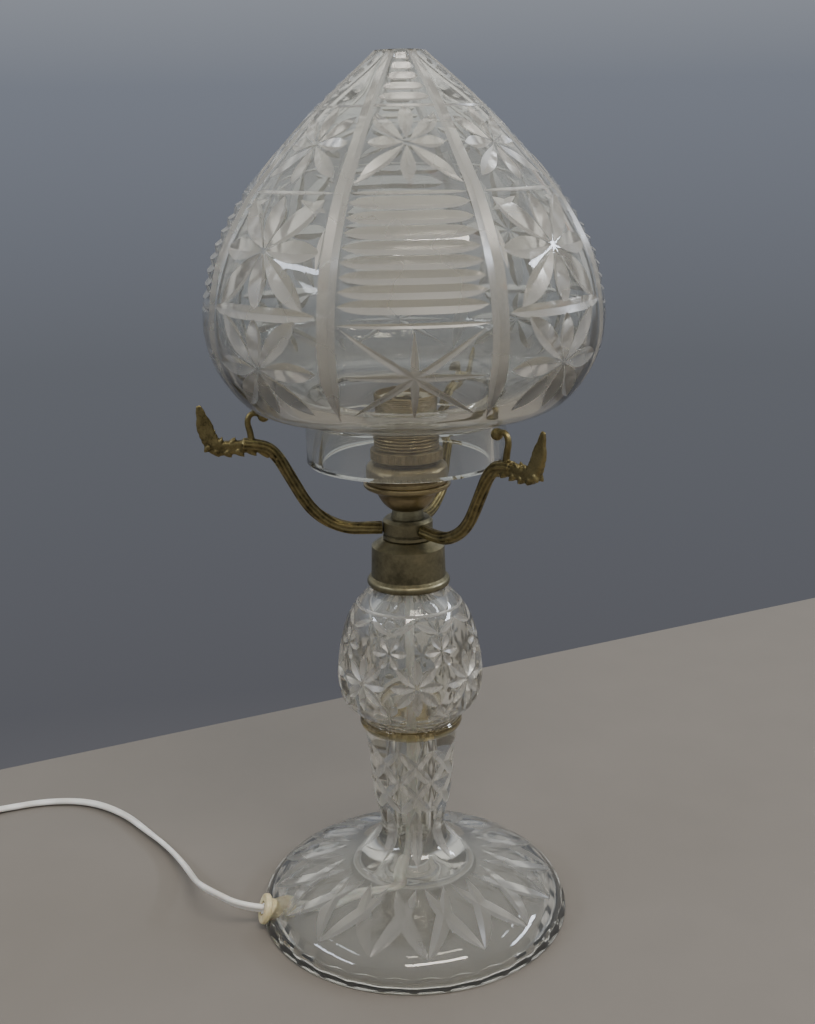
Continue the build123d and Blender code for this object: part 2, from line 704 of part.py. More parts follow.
plug_x = -262.0
plug_y = -58.0
plug_z = PLUG_H / 2
tail_points = [
    Vector(COIL_X - 3.0, COIL_Y - 33.4, COIL_H - 2.9),
    Vector(COIL_X + 9.0, COIL_Y - 36.4, COIL_H - 4.2),
    Vector(plug_x - 19.0, plug_y, plug_z),
    Vector(plug_x - 6.0, plug_y, plug_z),
]
save(tube_along(tail_points, "cord_tail"), "cord_tail")

# ================================================================ inline switch
switch_plane = Plane(origin=(switch_mid.X, switch_mid.Y, 0), x_dir=switch_dir, z_dir=(0, 0, 1))
split_z = switch_z
rocker_axis_z = SWITCH_H - 4.4
rocker_origin = Vector(switch_mid.X, switch_mid.Y, rocker_axis_z)
side_plane = Plane(origin=rocker_origin, x_dir=switch_dir, z_dir=-switch_plane.y_dir)
pin_half = ROCKER_W / 2 + 1.6
with BuildPart() as switch_base:
    with BuildSketch(switch_plane):
        SlotOverall(SWITCH_L, SWITCH_W)
    extrude(amount=split_z)
    with BuildSketch(switch_plane.offset(SWITCH_FLOOR)):
        SlotOverall(SWITCH_L - 2 * SWITCH_END_WALL, SWITCH_W - 2 * SWITCH_SIDE_WALL)
    extrude(amount=split_z, mode=Mode.SUBTRACT)
    with BuildSketch(switch_plane):
        with Locations((-SCREW_X, 0), (SCREW_X, 0)):
            Circle(POST_R)
    extrude(amount=split_z)
    with BuildSketch(switch_plane):
        with Locations((-SCREW_X, 0), (SCREW_X, 0)):
            Circle(SCREW_HOLE_R)
    extrude(amount=split_z, mode=Mode.SUBTRACT)
save(switch_base.part, "switch_base")

with BuildPart() as switch_cover:
    with BuildSketch(switch_plane.offset(split_z)):
        SlotOverall(SWITCH_L, SWITCH_W)
    extrude(amount=SWITCH_H - split_z - 1.0)
    fillet(switch_cover.faces().sort_by(Axis.Z)[-1].edges(), 2.2)
    with BuildSketch(switch_plane.offset(split_z)):
        SlotOverall(SWITCH_L - 2 * SWITCH_END_WALL, SWITCH_W - 2 * SWITCH_SIDE_WALL)
    extrude(amount=SWITCH_H - split_z - 3.0, mode=Mode.SUBTRACT)
    with BuildSketch(switch_plane.offset(split_z)):
        with Locations((-SCREW_X, 0), (SCREW_X, 0)):
            Circle(POST_R)
    extrude(amount=SWITCH_H - split_z - 3.0)
    with BuildSketch(switch_plane.offset(split_z)):
        with Locations((-SCREW_X, 0), (SCREW_X, 0)):
            Circle(SCREW_CORE_R + FIT_GAP)
    extrude(amount=SWITCH_H - split_z - 4.0, mode=Mode.SUBTRACT)
    with BuildSketch(switch_plane.offset(split_z)):
        Rectangle(ROCKER_L + 2 * ROCKER_GAP, ROCKER_W + 2 * ROCKER_GAP)
    extrude(amount=SWITCH_H, mode=Mode.SUBTRACT)
    # Cheeks that carry the rocker's pin.
    cheek_y = ROCKER_W / 2 + ROCKER_GAP + CHEEK_T / 2
    with BuildSketch(switch_plane.offset(split_z + 1.2)):
        with Locations((0, -cheek_y), (0, cheek_y)):
            Rectangle(CHEEK_L, CHEEK_T)
    extrude(amount=SWITCH_H - split_z - 4.0)
    with BuildSketch(side_plane):
        Circle(ROCKER_PIN_R)
    extrude(amount=pin_half, both=True, mode=Mode.SUBTRACT)
save(switch_cover.part, "switch_cover")

# The rocker turns on a pin across the switch; it rests tipped to "off".
with BuildPart() as rocker:
    tip_angle = math.radians(ROCKER_TIP)
    tipped = switch_dir * math.cos(tip_angle) - Vector(0, 0, math.sin(tip_angle))
    with BuildSketch(Plane(origin=rocker_origin, x_dir=tipped, z_dir=side_plane.z_dir)):
        with BuildLine():
            half = ROCKER_L / 2 - 0.5
            left = Line((-half, -1.6), (-half, 3.6))
            saddle = ThreePointArc(left @ 1, (0, 2.6), (half, 3.6))
            right = Line(saddle @ 1, (half, -1.6))
            Line(right @ 1, left @ 0)
        make_face()
    extrude(amount=ROCKER_W / 2, both=True)
    with BuildSketch(side_plane):
        Circle(ROCKER_PIN_R + FIT_GAP)
    extrude(amount=ROCKER_W, both=True, mode=Mode.SUBTRACT)
save(rocker.part, "switch_rocker")

with BuildPart() as rocker_pin:
    with BuildSketch(side_plane):
        Circle(ROCKER_PIN_R)
    extrude(amount=pin_half, both=True)
save(rocker_pin.part, "rocker_pin")

with BuildPart() as switch_screws:
    with BuildSketch(switch_plane.offset(0.3)):
        with Locations((-SCREW_X, 0), (SCREW_X, 0)):
            Circle(SCREW_HEAD_R)
    extrude(amount=split_z - 0.3)
    with BuildSketch(switch_plane.offset(split_z)):
        with Locations((-SCREW_X, 0), (SCREW_X, 0)):
            Circle(SCREW_CORE_R)
    extrude(amount=3.6)
    with BuildSketch(switch_plane.offset(0.3)):
        with Locations((-SCREW_X, 0), (SCREW_X, 0)):
            Rectangle(2.6, 0.5)
    extrude(amount=0.6, mode=Mode.SUBTRACT)
save(switch_screws.part, "switch_screws")

# ================================================================ plug
plug_plane = Plane(origin=(plug_x, plug_y, plug_z), x_dir=(0, 1, 0), z_dir=(1, 0, 0))
with BuildPart() as plug_body:
    with BuildSketch(plug_plane):
        RectangleRounded(PLUG_W * 0.62, PLUG_H * 0.8, 4.0)
    with BuildSketch(plug_plane.offset(PLUG_L * 0.45)):
        RectangleRounded(PLUG_W, PLUG_H, 5.0)
    with BuildSketch(plug_plane.offset(PLUG_L)):
        RectangleRounded(PLUG_W * 0.96, PLUG_H, 5.0)
    loft(ruled=True)
    with BuildSketch(plug_plane):
        Circle(FLEX_D / 2 + 1.0)
    extrude(amount=-6.0)
save(plug_body.part, "plug_body")

with BuildPart() as pins:
    with BuildSketch(plug_plane.offset(PLUG_L)):
        with Locations((-PIN_PITCH / 2, 0), (PIN_PITCH / 2, 0)):
            Circle(PIN_R)
    extrude(amount=PIN_L)
    fillet(pins.faces().sort_by(Axis.X)[-2:].edges(), 1.2)
save(pins.part, "plug_pins")
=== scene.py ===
import math

import bmesh
import bpy
import numpy as np
from bpy.props import (FloatProperty, FloatVectorProperty, IntProperty, PointerProperty)
from mathutils import Matrix, Vector


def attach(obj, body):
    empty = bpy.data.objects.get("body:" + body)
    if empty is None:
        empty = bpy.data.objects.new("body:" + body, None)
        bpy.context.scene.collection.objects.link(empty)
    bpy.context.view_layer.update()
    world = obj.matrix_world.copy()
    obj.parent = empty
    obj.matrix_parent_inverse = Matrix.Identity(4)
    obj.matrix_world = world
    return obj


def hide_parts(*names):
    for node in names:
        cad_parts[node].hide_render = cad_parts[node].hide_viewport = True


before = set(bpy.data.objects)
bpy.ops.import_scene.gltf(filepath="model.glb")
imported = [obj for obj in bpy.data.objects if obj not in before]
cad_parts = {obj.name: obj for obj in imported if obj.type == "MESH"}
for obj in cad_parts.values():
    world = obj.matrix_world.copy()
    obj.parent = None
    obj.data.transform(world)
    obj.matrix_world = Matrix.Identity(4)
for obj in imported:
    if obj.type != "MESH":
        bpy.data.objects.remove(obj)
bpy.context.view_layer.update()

bl_info = {
    "name": "Cut-crystal table lamp",
    "version": (1, 0, 0),
    "blender": (4, 5, 0),
    "location": "View3D > Sidebar > Lamp",
    "description": "Dresses the lamp's CAD frame with cut crystal, cast arms, flex and fittings",
    "category": "Object",
}

MM = 0.001
FLEX_WHITE = "#ecebe7"


def srgb(code):
    """Linear colour from a sRGB hex code."""
    channels = [int(code[i : i + 2], 16) / 255 for i in (1, 3, 5)]
    return tuple(c / 12.92 if c <= 0.04045 else ((c + 0.055) / 1.055) ** 2.4 for c in channels)


def add(tree, kind, inputs=None, **settings):
    """Adds a node with its settings. An input is either a value or a socket to link from."""
    made = tree.nodes.new(kind)
    for name, value in settings.items():
        setattr(made, name, value)
    for name, value in (inputs or {}).items():
        socket = made.inputs[name]
        if isinstance(value, bpy.types.NodeSocket):
            tree.links.new(value, socket)
        elif isinstance(value, (list, tuple)):
            for one in value:
                if isinstance(one, bpy.types.NodeSocket):
                    tree.links.new(one, socket)
                else:
                    socket.default_value = value
                    break
        else:
            socket.default_value = value
    return made


def ramp(tree, factor, stops):
    """Colour ramp from (place, colour) pairs."""
    made = add(tree, "ShaderNodeValToRGB", {"Fac": factor})
    band = made.color_ramp
    while len(band.elements) < len(stops):
        band.elements.new(0.5)
    for element, (place, colour) in zip(band.elements, stops):
        element.position = place
        element.color = (*colour, 1)
    return made.outputs["Color"]


def new_material(name):
    """Empty material and its tree, with the output node in place."""
    material = bpy.data.materials.new(name)
    material.use_nodes = True
    material.node_tree.nodes.clear()
    output = add(material.node_tree, "ShaderNodeOutputMaterial")
    return material, material.node_tree, output


# ---------------------------------------------------------------- materials


def lead_crystal(colours):
    """Lead crystal, fire-polished: clear and sharp, faintly green-grey where it is thick."""
    material, tree, output = new_material("lead_crystal_polished")
    place = add(tree, "ShaderNodeTexCoord").outputs["Object"]
    height = add(tree, "ShaderNodeSeparateXYZ", {0: place}).outputs["Z"]
    waist = add(
        tree,
        "ShaderNodeMapRange",
        {"Value": height, "From Min": 0.090, "From Max": 0.104, "To Min": 0.0, "To Max": 1.0},
    ).outputs[0]
    # The glass is tinted amber in a band at the waist.
    tint = ramp(
        tree,
        waist,
        [
            (0.0, tuple(colours.crystal)), (0.30, tuple(colours.crystal)), (0.42, srgb("#c9b26a")),
            (0.62, srgb("#a8935a")), (0.74, tuple(colours.crystal)),
        ],
    )
    ripple = add(tree, "ShaderNodeTexNoise", {"Vector": place, "Scale": 38.0, "Detail": 2.0})
    bump = add(tree, "ShaderNodeBump", {"Height": ripple.outputs["Fac"], "Strength": 0.04, "Distance": 0.002})
    glass = add(
        tree,
        "ShaderNodeBsdfPrincipled",
        {
            "Base Color": tint,
            "Roughness": 0.015,
            "IOR": 1.545,
            "Transmission Weight": 0.955,
            "Normal": bump.outputs[0],
        },
    )
    depth = add(tree, "ShaderNodeVolumeAbsorption", {"Color": (*srgb("#e8dfca"), 1), "Density": 12.0})
    tree.links.new(glass.outputs[0], output.inputs["Surface"])
    tree.links.new(depth.outputs[0], output.inputs["Volume"])
    return material


def wheel_cut(colours):
    """Facets left by the cutting wheel and acid polish: satin, a little white, with fine streaks."""
    material, tree, output = new_material("lead_crystal_wheel_cut")
    place = add(tree, "ShaderNodeTexCoord").outputs["Object"]
    streaks = add(tree, "ShaderNodeTexNoise", {"Vector": place, "Scale": 260.0, "Detail": 3.0})
    cloud = add(tree, "ShaderNodeTexNoise", {"Vector": place, "Scale": 34.0, "Detail": 2.0})
    rough = add(
        tree,
        "ShaderNodeMapRange",
        {"Value": cloud.outputs["Fac"], "From Min": 0.3, "From Max": 0.7, "To Min": 0.18, "To Max": 0.36},
    ).outputs[0]
    bump = add(
        tree,
        "ShaderNodeBump",
        {"Height": streaks.outputs["Fac"], "Strength": 0.12, "Distance": 0.0004},
    )
    # The foot's cuts are polished clearer than those higher up.
    height = add(tree, "ShaderNodeSeparateXYZ", {0: place}).outputs["Z"]
    clear = add(
        tree,
        "ShaderNodeMapRange",
        {"Value": height, "From Min": 0.025, "From Max": 0.045, "To Min": 0.88, "To Max": 0.80},
    ).outputs[0]
    glass = add(
        tree,
        "ShaderNodeBsdfPrincipled",
        {
            "Base Color": (*colours.cut, 1),
            "Roughness": rough,
            "IOR": 1.545,
            "Transmission Weight": clear,
            "Normal": bump.outputs[0],
        },
    )
    depth = add(tree, "ShaderNodeVolumeAbsorption", {"Color": (*srgb("#e8dfca"), 1), "Density": 12.0})
    tree.links.new(glass.outputs[0], output.inputs["Surface"])
    tree.links.new(depth.outputs[0], output.inputs["Volume"])
    return material


def old_brass(name, dark, worn, rough_low, rough_high, grain, wear):
    """Old brass: brown patina in the hollows, metal showing where hands and edges rub."""
    material, tree, output = new_material(name)
    place = add(tree, "ShaderNodeTexCoord").outputs["Object"]
    patches = add(
        tree,
        "ShaderNodeTexNoise",
        {"Vector": place, "Scale": grain, "Detail": 6.0, "Roughness": 0.62},
    )
    specks = add(tree, "ShaderNodeTexNoise", {"Vector": place, "Scale": grain * 9, "Detail": 3.0})
    edges = add(tree, "ShaderNodeNewGeometry").outputs["Pointiness"]
    raised = add(
        tree,
        "ShaderNodeMapRange",
        {"Value": edges, "From Min": 0.48, "From Max": 0.56, "To Min": 0.0, "To Max": wear},
    ).outputs[0]
    mixed = add(tree, "ShaderNodeMath", {0: patches.outputs["Fac"], 1: raised}, operation="ADD").outputs[0]
    spotted = add(
        tree,
        "ShaderNodeMath",
        {0: specks.outputs["Fac"], 1: 0.28, 2: mixed},
        operation="MULTIPLY_ADD",
    ).outputs[0]
    middle = tuple((a + b) / 2 for a, b in zip(dark, worn))
    colour = ramp(tree, spotted, [(0.50, dark), (0.68, middle), (0.92, worn)])
    rough = add(
        tree,
        "ShaderNodeMapRange",
        {"Value": spotted, "From Min": 0.45, "From Max": 0.9, "To Min": rough_high, "To Max": rough_low},
    ).outputs[0]
    bump = add(
        tree,
        "ShaderNodeBump",
        {"Height": specks.outputs["Fac"], "Strength": 0.25, "Distance": 0.0003},
    )
    metal = add(
        tree,
        "ShaderNodeBsdfPrincipled",
        {"Base Color": colour, "Metallic": 0.92, "Roughness": rough, "Normal": bump.outputs[0]},
    )
    tree.links.new(metal.outputs[0], output.inputs["Surface"])
    return material


def moulded_plastic(name, colour, shade, rough, scale):
    """Moulded plastic or PVC: even colour, slightly dirty, soft shine with a fine skin."""
    material, tree, output = new_material(name)
    place = add(tree, "ShaderNodeTexCoord").outputs["Object"]
    dirt = add(tree, "ShaderNodeTexNoise", {"Vector": place, "Scale": scale, "Detail": 4.0})
    skin = add(tree, "ShaderNodeTexNoise", {"Vector": place, "Scale": 1800.0, "Detail": 1.0})
    tone = ramp(tree, dirt.outputs["Fac"], [(0.35, shade), (0.62, colour)])
    bump = add(tree, "ShaderNodeBump", {"Height": skin.outputs["Fac"], "Strength": 0.08, "Distance": 0.0002})
    plastic = add(
        tree,
        "ShaderNodeBsdfPrincipled",
        {
            "Base Color": tone,
            "Roughness": rough,
            "IOR": 1.53,
            "Subsurface Weight": 0.08,
            "Subsurface Scale": 0.002,
            "Normal": bump.outputs[0],
        },
    )
    tree.links.new(plastic.outputs[0], output.inputs["Surface"])
    return material


def fired_clay(name, colour, speckle, rough):
    """Porcelain or plaster: pale, faintly mottled."""
    material, tree, output = new_material(name)
    place = add(tree, "ShaderNodeTexCoord").outputs["Object"]
    mottle = add(tree, "ShaderNodeTexNoise", {"Vector": place, "Scale": 220.0, "Detail": 5.0})
    tone = ramp(tree, mottle.outputs["Fac"], [(0.38, speckle), (0.6, colour)])
    bump = add(
        tree,
        "ShaderNodeBump",
        {"Height": mottle.outputs["Fac"], "Strength": 0.15, "Distance": 0.0003},
    )
    clay = add(
        tree,
        "ShaderNodeBsdfPrincipled",
        {"Base Color": tone, "Roughness": rough, "Normal": bump.outputs[0]},
    )
    tree.links.new(clay.outputs[0], output.inputs["Surface"])
    return material


def plated_steel(name, colour, rough):
    """Plated steel or nickel: turned, with fine rings."""
    material, tree, output = new_material(name)
    place = add(tree, "ShaderNodeTexCoord").outputs["Object"]
    lines = add(
        tree,
        "ShaderNodeTexWave",
        {"Vector": place, "Scale": 900.0, "Distortion": 1.5, "Detail": 2.0},
        wave_type="BANDS",
        bands_direction="Z",
    )
    haze = add(tree, "ShaderNodeTexNoise", {"Vector": place, "Scale": 160.0, "Detail": 3.0})
    tone = ramp(tree, haze.outputs["Fac"], [(0.3, tuple(c * 0.7 for c in colour)), (0.7, colour)])
    bump = add(tree, "ShaderNodeBump", {"Height": lines.outputs["Fac"], "Strength": 0.08, "Distance": 0.0001})
    metal = add(
        tree,
        "ShaderNodeBsdfPrincipled",
        {"Base Color": tone, "Metallic": 1.0, "Roughness": rough, "Normal": bump.outputs[0]},
    )
    tree.links.new(metal.outputs[0], output.inputs["Surface"])
    return material


RECIPES = {
    # Cast brass, toned brown, with bare metal on the high places.
    "arm_brass": (old_brass, "cast_brass_brown_patina", "#282417", "#8f8259", 0.34, 0.66, 150.0, 0.38),
    # Turned brass gone grey-green with age.
    "cap_brass": (old_brass, "turned_brass_grey_tarnish", "#55503e", "#8f886c", 0.32, 0.55, 70.0, 0.2),
    # Pressed brass sheet, dull lacquer.
    "holder_brass": (old_brass, "pressed_brass_dull_lacquer", "#5e5340", "#aa9b78", 0.28, 0.50, 60.0, 0.2),
    "flex": (moulded_plastic, "white_pvc_flex", FLEX_WHITE, "#d3d0c8", 0.38, 60.0),
    "fitting": (moulded_plastic, "white_moulded_fitting", "#e8e5dc", "#d8d4c8", 0.3, 90.0),
    "ivory": (moulded_plastic, "ivory_moulded_bushing", "#e0d5b0", "#c9b98c", 0.42, 300.0),
    "plaster": (fired_clay, "old_fixing_plaster", "#a48c66", "#6e5a3c", 0.9),
    "porcelain": (fired_clay, "glazed_porcelain", "#e4e0d4", "#cfc9ba", 0.25),
    "steel": (plated_steel, "zinc_plated_steel", "#a6a49c", 0.38),
    "nickel": (plated_steel, "nickel_plated_brass", "#c9c2ae", 0.22),
}
FINISHED = {}


def material_for(name):
    """The finished material of this name, made once. Glass and flex take the panel's colours."""
    if name not in FINISHED:
        colours = bpy.context.scene.lamp_colours
        if name == "crystal":
            FINISHED[name] = lead_crystal(colours)
        elif name == "cut":
            FINISHED[name] = wheel_cut(colours)
        else:
            recipe, *values = RECIPES[name]
            values = [srgb(v) if str(v).startswith("#") else v for v in values]
            if name == "flex":
                values[1] = tuple(colours.flex)
            FINISHED[name] = recipe(*values)
    return FINISHED[name]


# ---------------------------------------------------------------- mesh helpers


def object_from(name, vertices, faces, materials=()):
    """Mesh object from millimetre points."""
    mesh = bpy.data.meshes.new(name)
    mesh.from_pydata([tuple(c * MM for c in v) for v in vertices], [], faces)
    mesh.update()
    made = bpy.data.objects.new(name, mesh)
    bpy.context.collection.objects.link(made)
    for material in materials:
        mesh.materials.append(material)
    return made


def soften(made, angle):
    """Smooth shading with hard edges above this angle in degrees."""
    made.data.shade_smooth()
    made.data.set_sharp_from_angle(angle=math.radians(angle))


def face_outward(made):
    """Merges doubles and turns every face outward."""
    work = bmesh.new()
    work.from_mesh(made.data)
    bmesh.ops.remove_doubles(work, verts=work.verts, dist=1e-7)
    bmesh.ops.recalc_face_normals(work, faces=work.faces)
    work.to_mesh(made.data)
    work.free()


def join(name, objects):
    """One object from several, in the same place."""
    work = bmesh.new()
    for one in objects:
        work.from_mesh(one.data)
    mesh = bpy.data.meshes.new(name)
    work.to_mesh(mesh)
    work.free()
    for material in objects[0].data.materials:
        mesh.materials.append(material)
    for one in objects:
        bpy.data.objects.remove(one, do_unlink=True)
    made = bpy.data.objects.new(name, mesh)
    bpy.context.collection.objects.link(made)
    return made


def through(points, start=None, end=None, steps=12):
    """Dense points on the clamped cubic that passes through these points."""
    p = np.array(points, float)
    t = np.r_[0, np.cumsum(np.linalg.norm(np.diff(p, axis=0), axis=1))]
    n = len(p)
    h = np.diff(t)
    a = np.zeros((n, n))
    b = np.zeros((n, p.shape[1]))
    for i in range(1, n - 1):
        a[i, i - 1 : i + 2] = [h[i], 2 * (h[i - 1] + h[i]), h[i - 1]]
        b[i] = 3 * (h[i] * (p[i] - p[i - 1]) / h[i - 1] + h[i - 1] * (p[i + 1] - p[i]) / h[i])
    for row, given, first in ((0, start, True), (n - 1, end, False)):
        if given is None:
            k = 0 if first else n - 2
            a[row, k : k + 2] = [1, 1]
            b[row] = 2 * (p[k + 1] - p[k]) / h[k]
        else:
            unit = np.array(given, float)
            a[row, row] = 1
            b[row] = unit / np.linalg.norm(unit)
    m = np.linalg.solve(a, b)
    out = []
    for i in range(n - 1):
        for k in range(steps):
            u = k / steps
            out.append(
                (2 * u**3 - 3 * u**2 + 1) * p[i]
                + (u**3 - 2 * u**2 + u) * h[i] * m[i]
                + (-2 * u**3 + 3 * u**2) * p[i + 1]
                + (u**3 - u**2) * h[i] * m[i + 1]
            )
    out.append(p[-1])
    return [tuple(v) for v in out]


def turned(name, profile, segments, materials, smooth_angle=30.0):
    """Closed ring of (radius, height) points turned round the lamp's axis."""
    vertices = []
    for r, z in profile:
        for k in range(segments):
            angle = 2 * math.pi * k / segments
            vertices.append((r * math.cos(angle), r * math.sin(angle), z))
    faces = []
    count = len(profile)
    for i in range(count):
        j = (i + 1) % count
        for k in range(segments):
            n = (k + 1) % segments
            faces.append((i * segments + k, i * segments + n, j * segments + n, j * segments + k))
    made = object_from(name, vertices, faces, materials)
    face_outward(made)
    soften(made, smooth_angle)
    return made


def swept(points, section):
    """Vertices and faces of a section carried along points.

    section(i) gives the outline at point i as (side, up) pairs across the path.
    """
    p = [Vector(v) for v in points]
    vertices, faces = [], []
    up = Vector((0, 0, 1))
    last_side = Vector((0, 1, 0))
    for i, here in enumerate(p):
        ahead = p[min(i + 1, len(p) - 1)] - p[max(i - 1, 0)]
        ahead.normalize()
        side = ahead.cross(up)
        if side.length < 0.05:
            side = last_side
        side = (side - ahead * side.dot(ahead)).normalized()
        last_side = side
        lift = side.cross(ahead)
        ring = section(i)
        width = len(ring)
        for across, above in ring:
            vertices.append(tuple(here + side * across + lift * above))
    for i in range(len(p) - 1):
        for k in range(width):
            n = (k + 1) % width
            faces.append((i * width + k, i * width + n, (i + 1) * width + n, (i + 1) * width + k))
    faces.append(tuple(reversed(range(width))))
    faces.append(tuple(range((len(p) - 1) * width, len(p) * width)))
    return vertices, faces


# ---------------------------------------------------------------- cut glass (in millimetres)

AROUND = 192  # faces round a blank
PROUD = 1.2  # how far a cutter stands out of the glass
SHADE_TURN = -87.5  # degrees, brings the shade's first panel to the front
STAND_TURN = -85.0  # degrees, brings a point of the foot's zigzag to the front


class GlassSurface:
    """The outside of a turned blank: points and normals at (angle, distance along the profile)."""

    def __init__(self, profile):
        self.p = np.array(profile, float)
        self.s = np.r_[0, np.cumsum(np.linalg.norm(np.diff(self.p, axis=0), axis=1))]

    def along(self, height):
        """Distance along the profile of this height."""
        return float(np.interp(height, self.p[:, 1], self.s))

    def radius(self, s):
        return float(np.interp(s, self.s, self.p[:, 0]))

    def point(self, angle, s):
        r = self.radius(s)
        z = float(np.interp(s, self.s, self.p[:, 1]))
        return Vector((r * math.cos(angle), r * math.sin(angle), z))

    def normal(self, angle, s):
        step = 0.6
        low = self.point(0, max(s - step, 0))
        high = self.point(0, min(s + step, self.s[-1]))
        run = high - low
        flat = Vector((run.z, 0, -run.x)).normalized()
        return Vector((flat.x * math.cos(angle), flat.x * math.sin(angle), flat.z))


class CutPattern:
    """Collects V-shaped wheel cuts, each a closed solid that reaches into the glass."""

    def __init__(self, surface, wheel):
        self.surface = surface
        self.wheel = wheel  # depth over width of the wheel's edge
        self.vertices = []
        self.faces = []

    def cut(self, start, end, width, shape, steps, fullest=0.5, wheel=None):
        """One cut from start to end, each (angle in degrees, distance along the profile).

        A lens is pointed at both ends, a band is even with short ends, and a fade is even and runs
        out at its end. Fullest is where along a lens it is widest.
        """
        wheel = wheel or self.wheel
        power = math.log(0.5) / math.log(fullest)
        rows = []
        for i in range(steps + 1):
            t = i / steps
            angle = math.radians(start[0] + (end[0] - start[0]) * t)
            s = start[1] + (end[1] - start[1]) * t
            middle = t**power
            if shape == "lens":
                full = 4 * middle * (1 - middle) * 1.06 - 0.06
            elif shape == "band":
                full = 1 - abs(2 * t - 1) ** 6 * 1.04
            else:
                full = min(1.0, (1 - t) * 9) * 1.05 - 0.05
            across = width(t) if callable(width) else width
            depth = across * wheel * full
            here = self.surface.point(angle, s)
            out = self.surface.normal(angle, s)
            rows.append((here, out, depth, across * full / 2))
        base = len(self.vertices)
        for i, (here, out, depth, half) in enumerate(rows):
            ahead = rows[min(i + 1, steps)][0] - rows[max(i - 1, 0)][0]
            side = out.cross(ahead).normalized()
            spread = half + PROUD / wheel / 2
            self.vertices.append(tuple(here - out * depth))
            self.vertices.append(tuple(here + out * PROUD + side * spread))
            self.vertices.append(tuple(here + out * PROUD - side * spread))
        for i in range(steps):
            a = base + i * 3
            b = a + 3
            self.faces.append((a, b, b + 1, a + 1))
            self.faces.append((a + 1, b + 1, b + 2, a + 2))
            self.faces.append((a + 2, b + 2, b, a))
        last = base + steps * 3
        self.faces.append((base, base + 1, base + 2))
        self.faces.append((last + 2, last + 1, last))

    def star(self, angle, s, petals, width, fullest=0.6):
        """Star of lens cuts round a point. petals is {direction in degrees: length in millimetres}."""
        heart = 0.4  # the petals start this far from the middle
        r_in = self.surface.radius(s)
        for direction, length in petals.items():
            way = math.radians(direction)
            across, along = math.sin(way), math.cos(way)
            r_out = self.surface.radius(s + length * along)
            begin = (angle + math.degrees(heart * across / r_in), s + heart * along)
            finish = (angle + math.degrees(length * across / ((r_in + r_out) / 2)), s + length * along)
            self.cut(begin, finish, width, "lens", steps=10, fullest=fullest)

    def build(self, name):
        made = object_from(name, self.vertices, self.faces, [material_for("crystal"), material_for("cut")])
        face_outward(made)
        for face in made.data.polygons:
            face.material_index = 1
        return made


def ring_cutter(name, surface, s, width, wheel):
    """V groove all the way round at one height."""
    here = surface.point(0, s)
    out = surface.normal(0, s)
    side = Vector((-out.z, 0, out.x))
    spread = width / 2 + PROUD / wheel / 2
    above = here + out * PROUD
    corners = [here - out * width * wheel, above + side * spread, above - side * spread]
    made = turned(name, [(c.x, c.z) for c in corners], 160, [material_for("crystal"), material_for("cut")])
    for face in made.data.polygons:
        face.material_index = 1
    return made


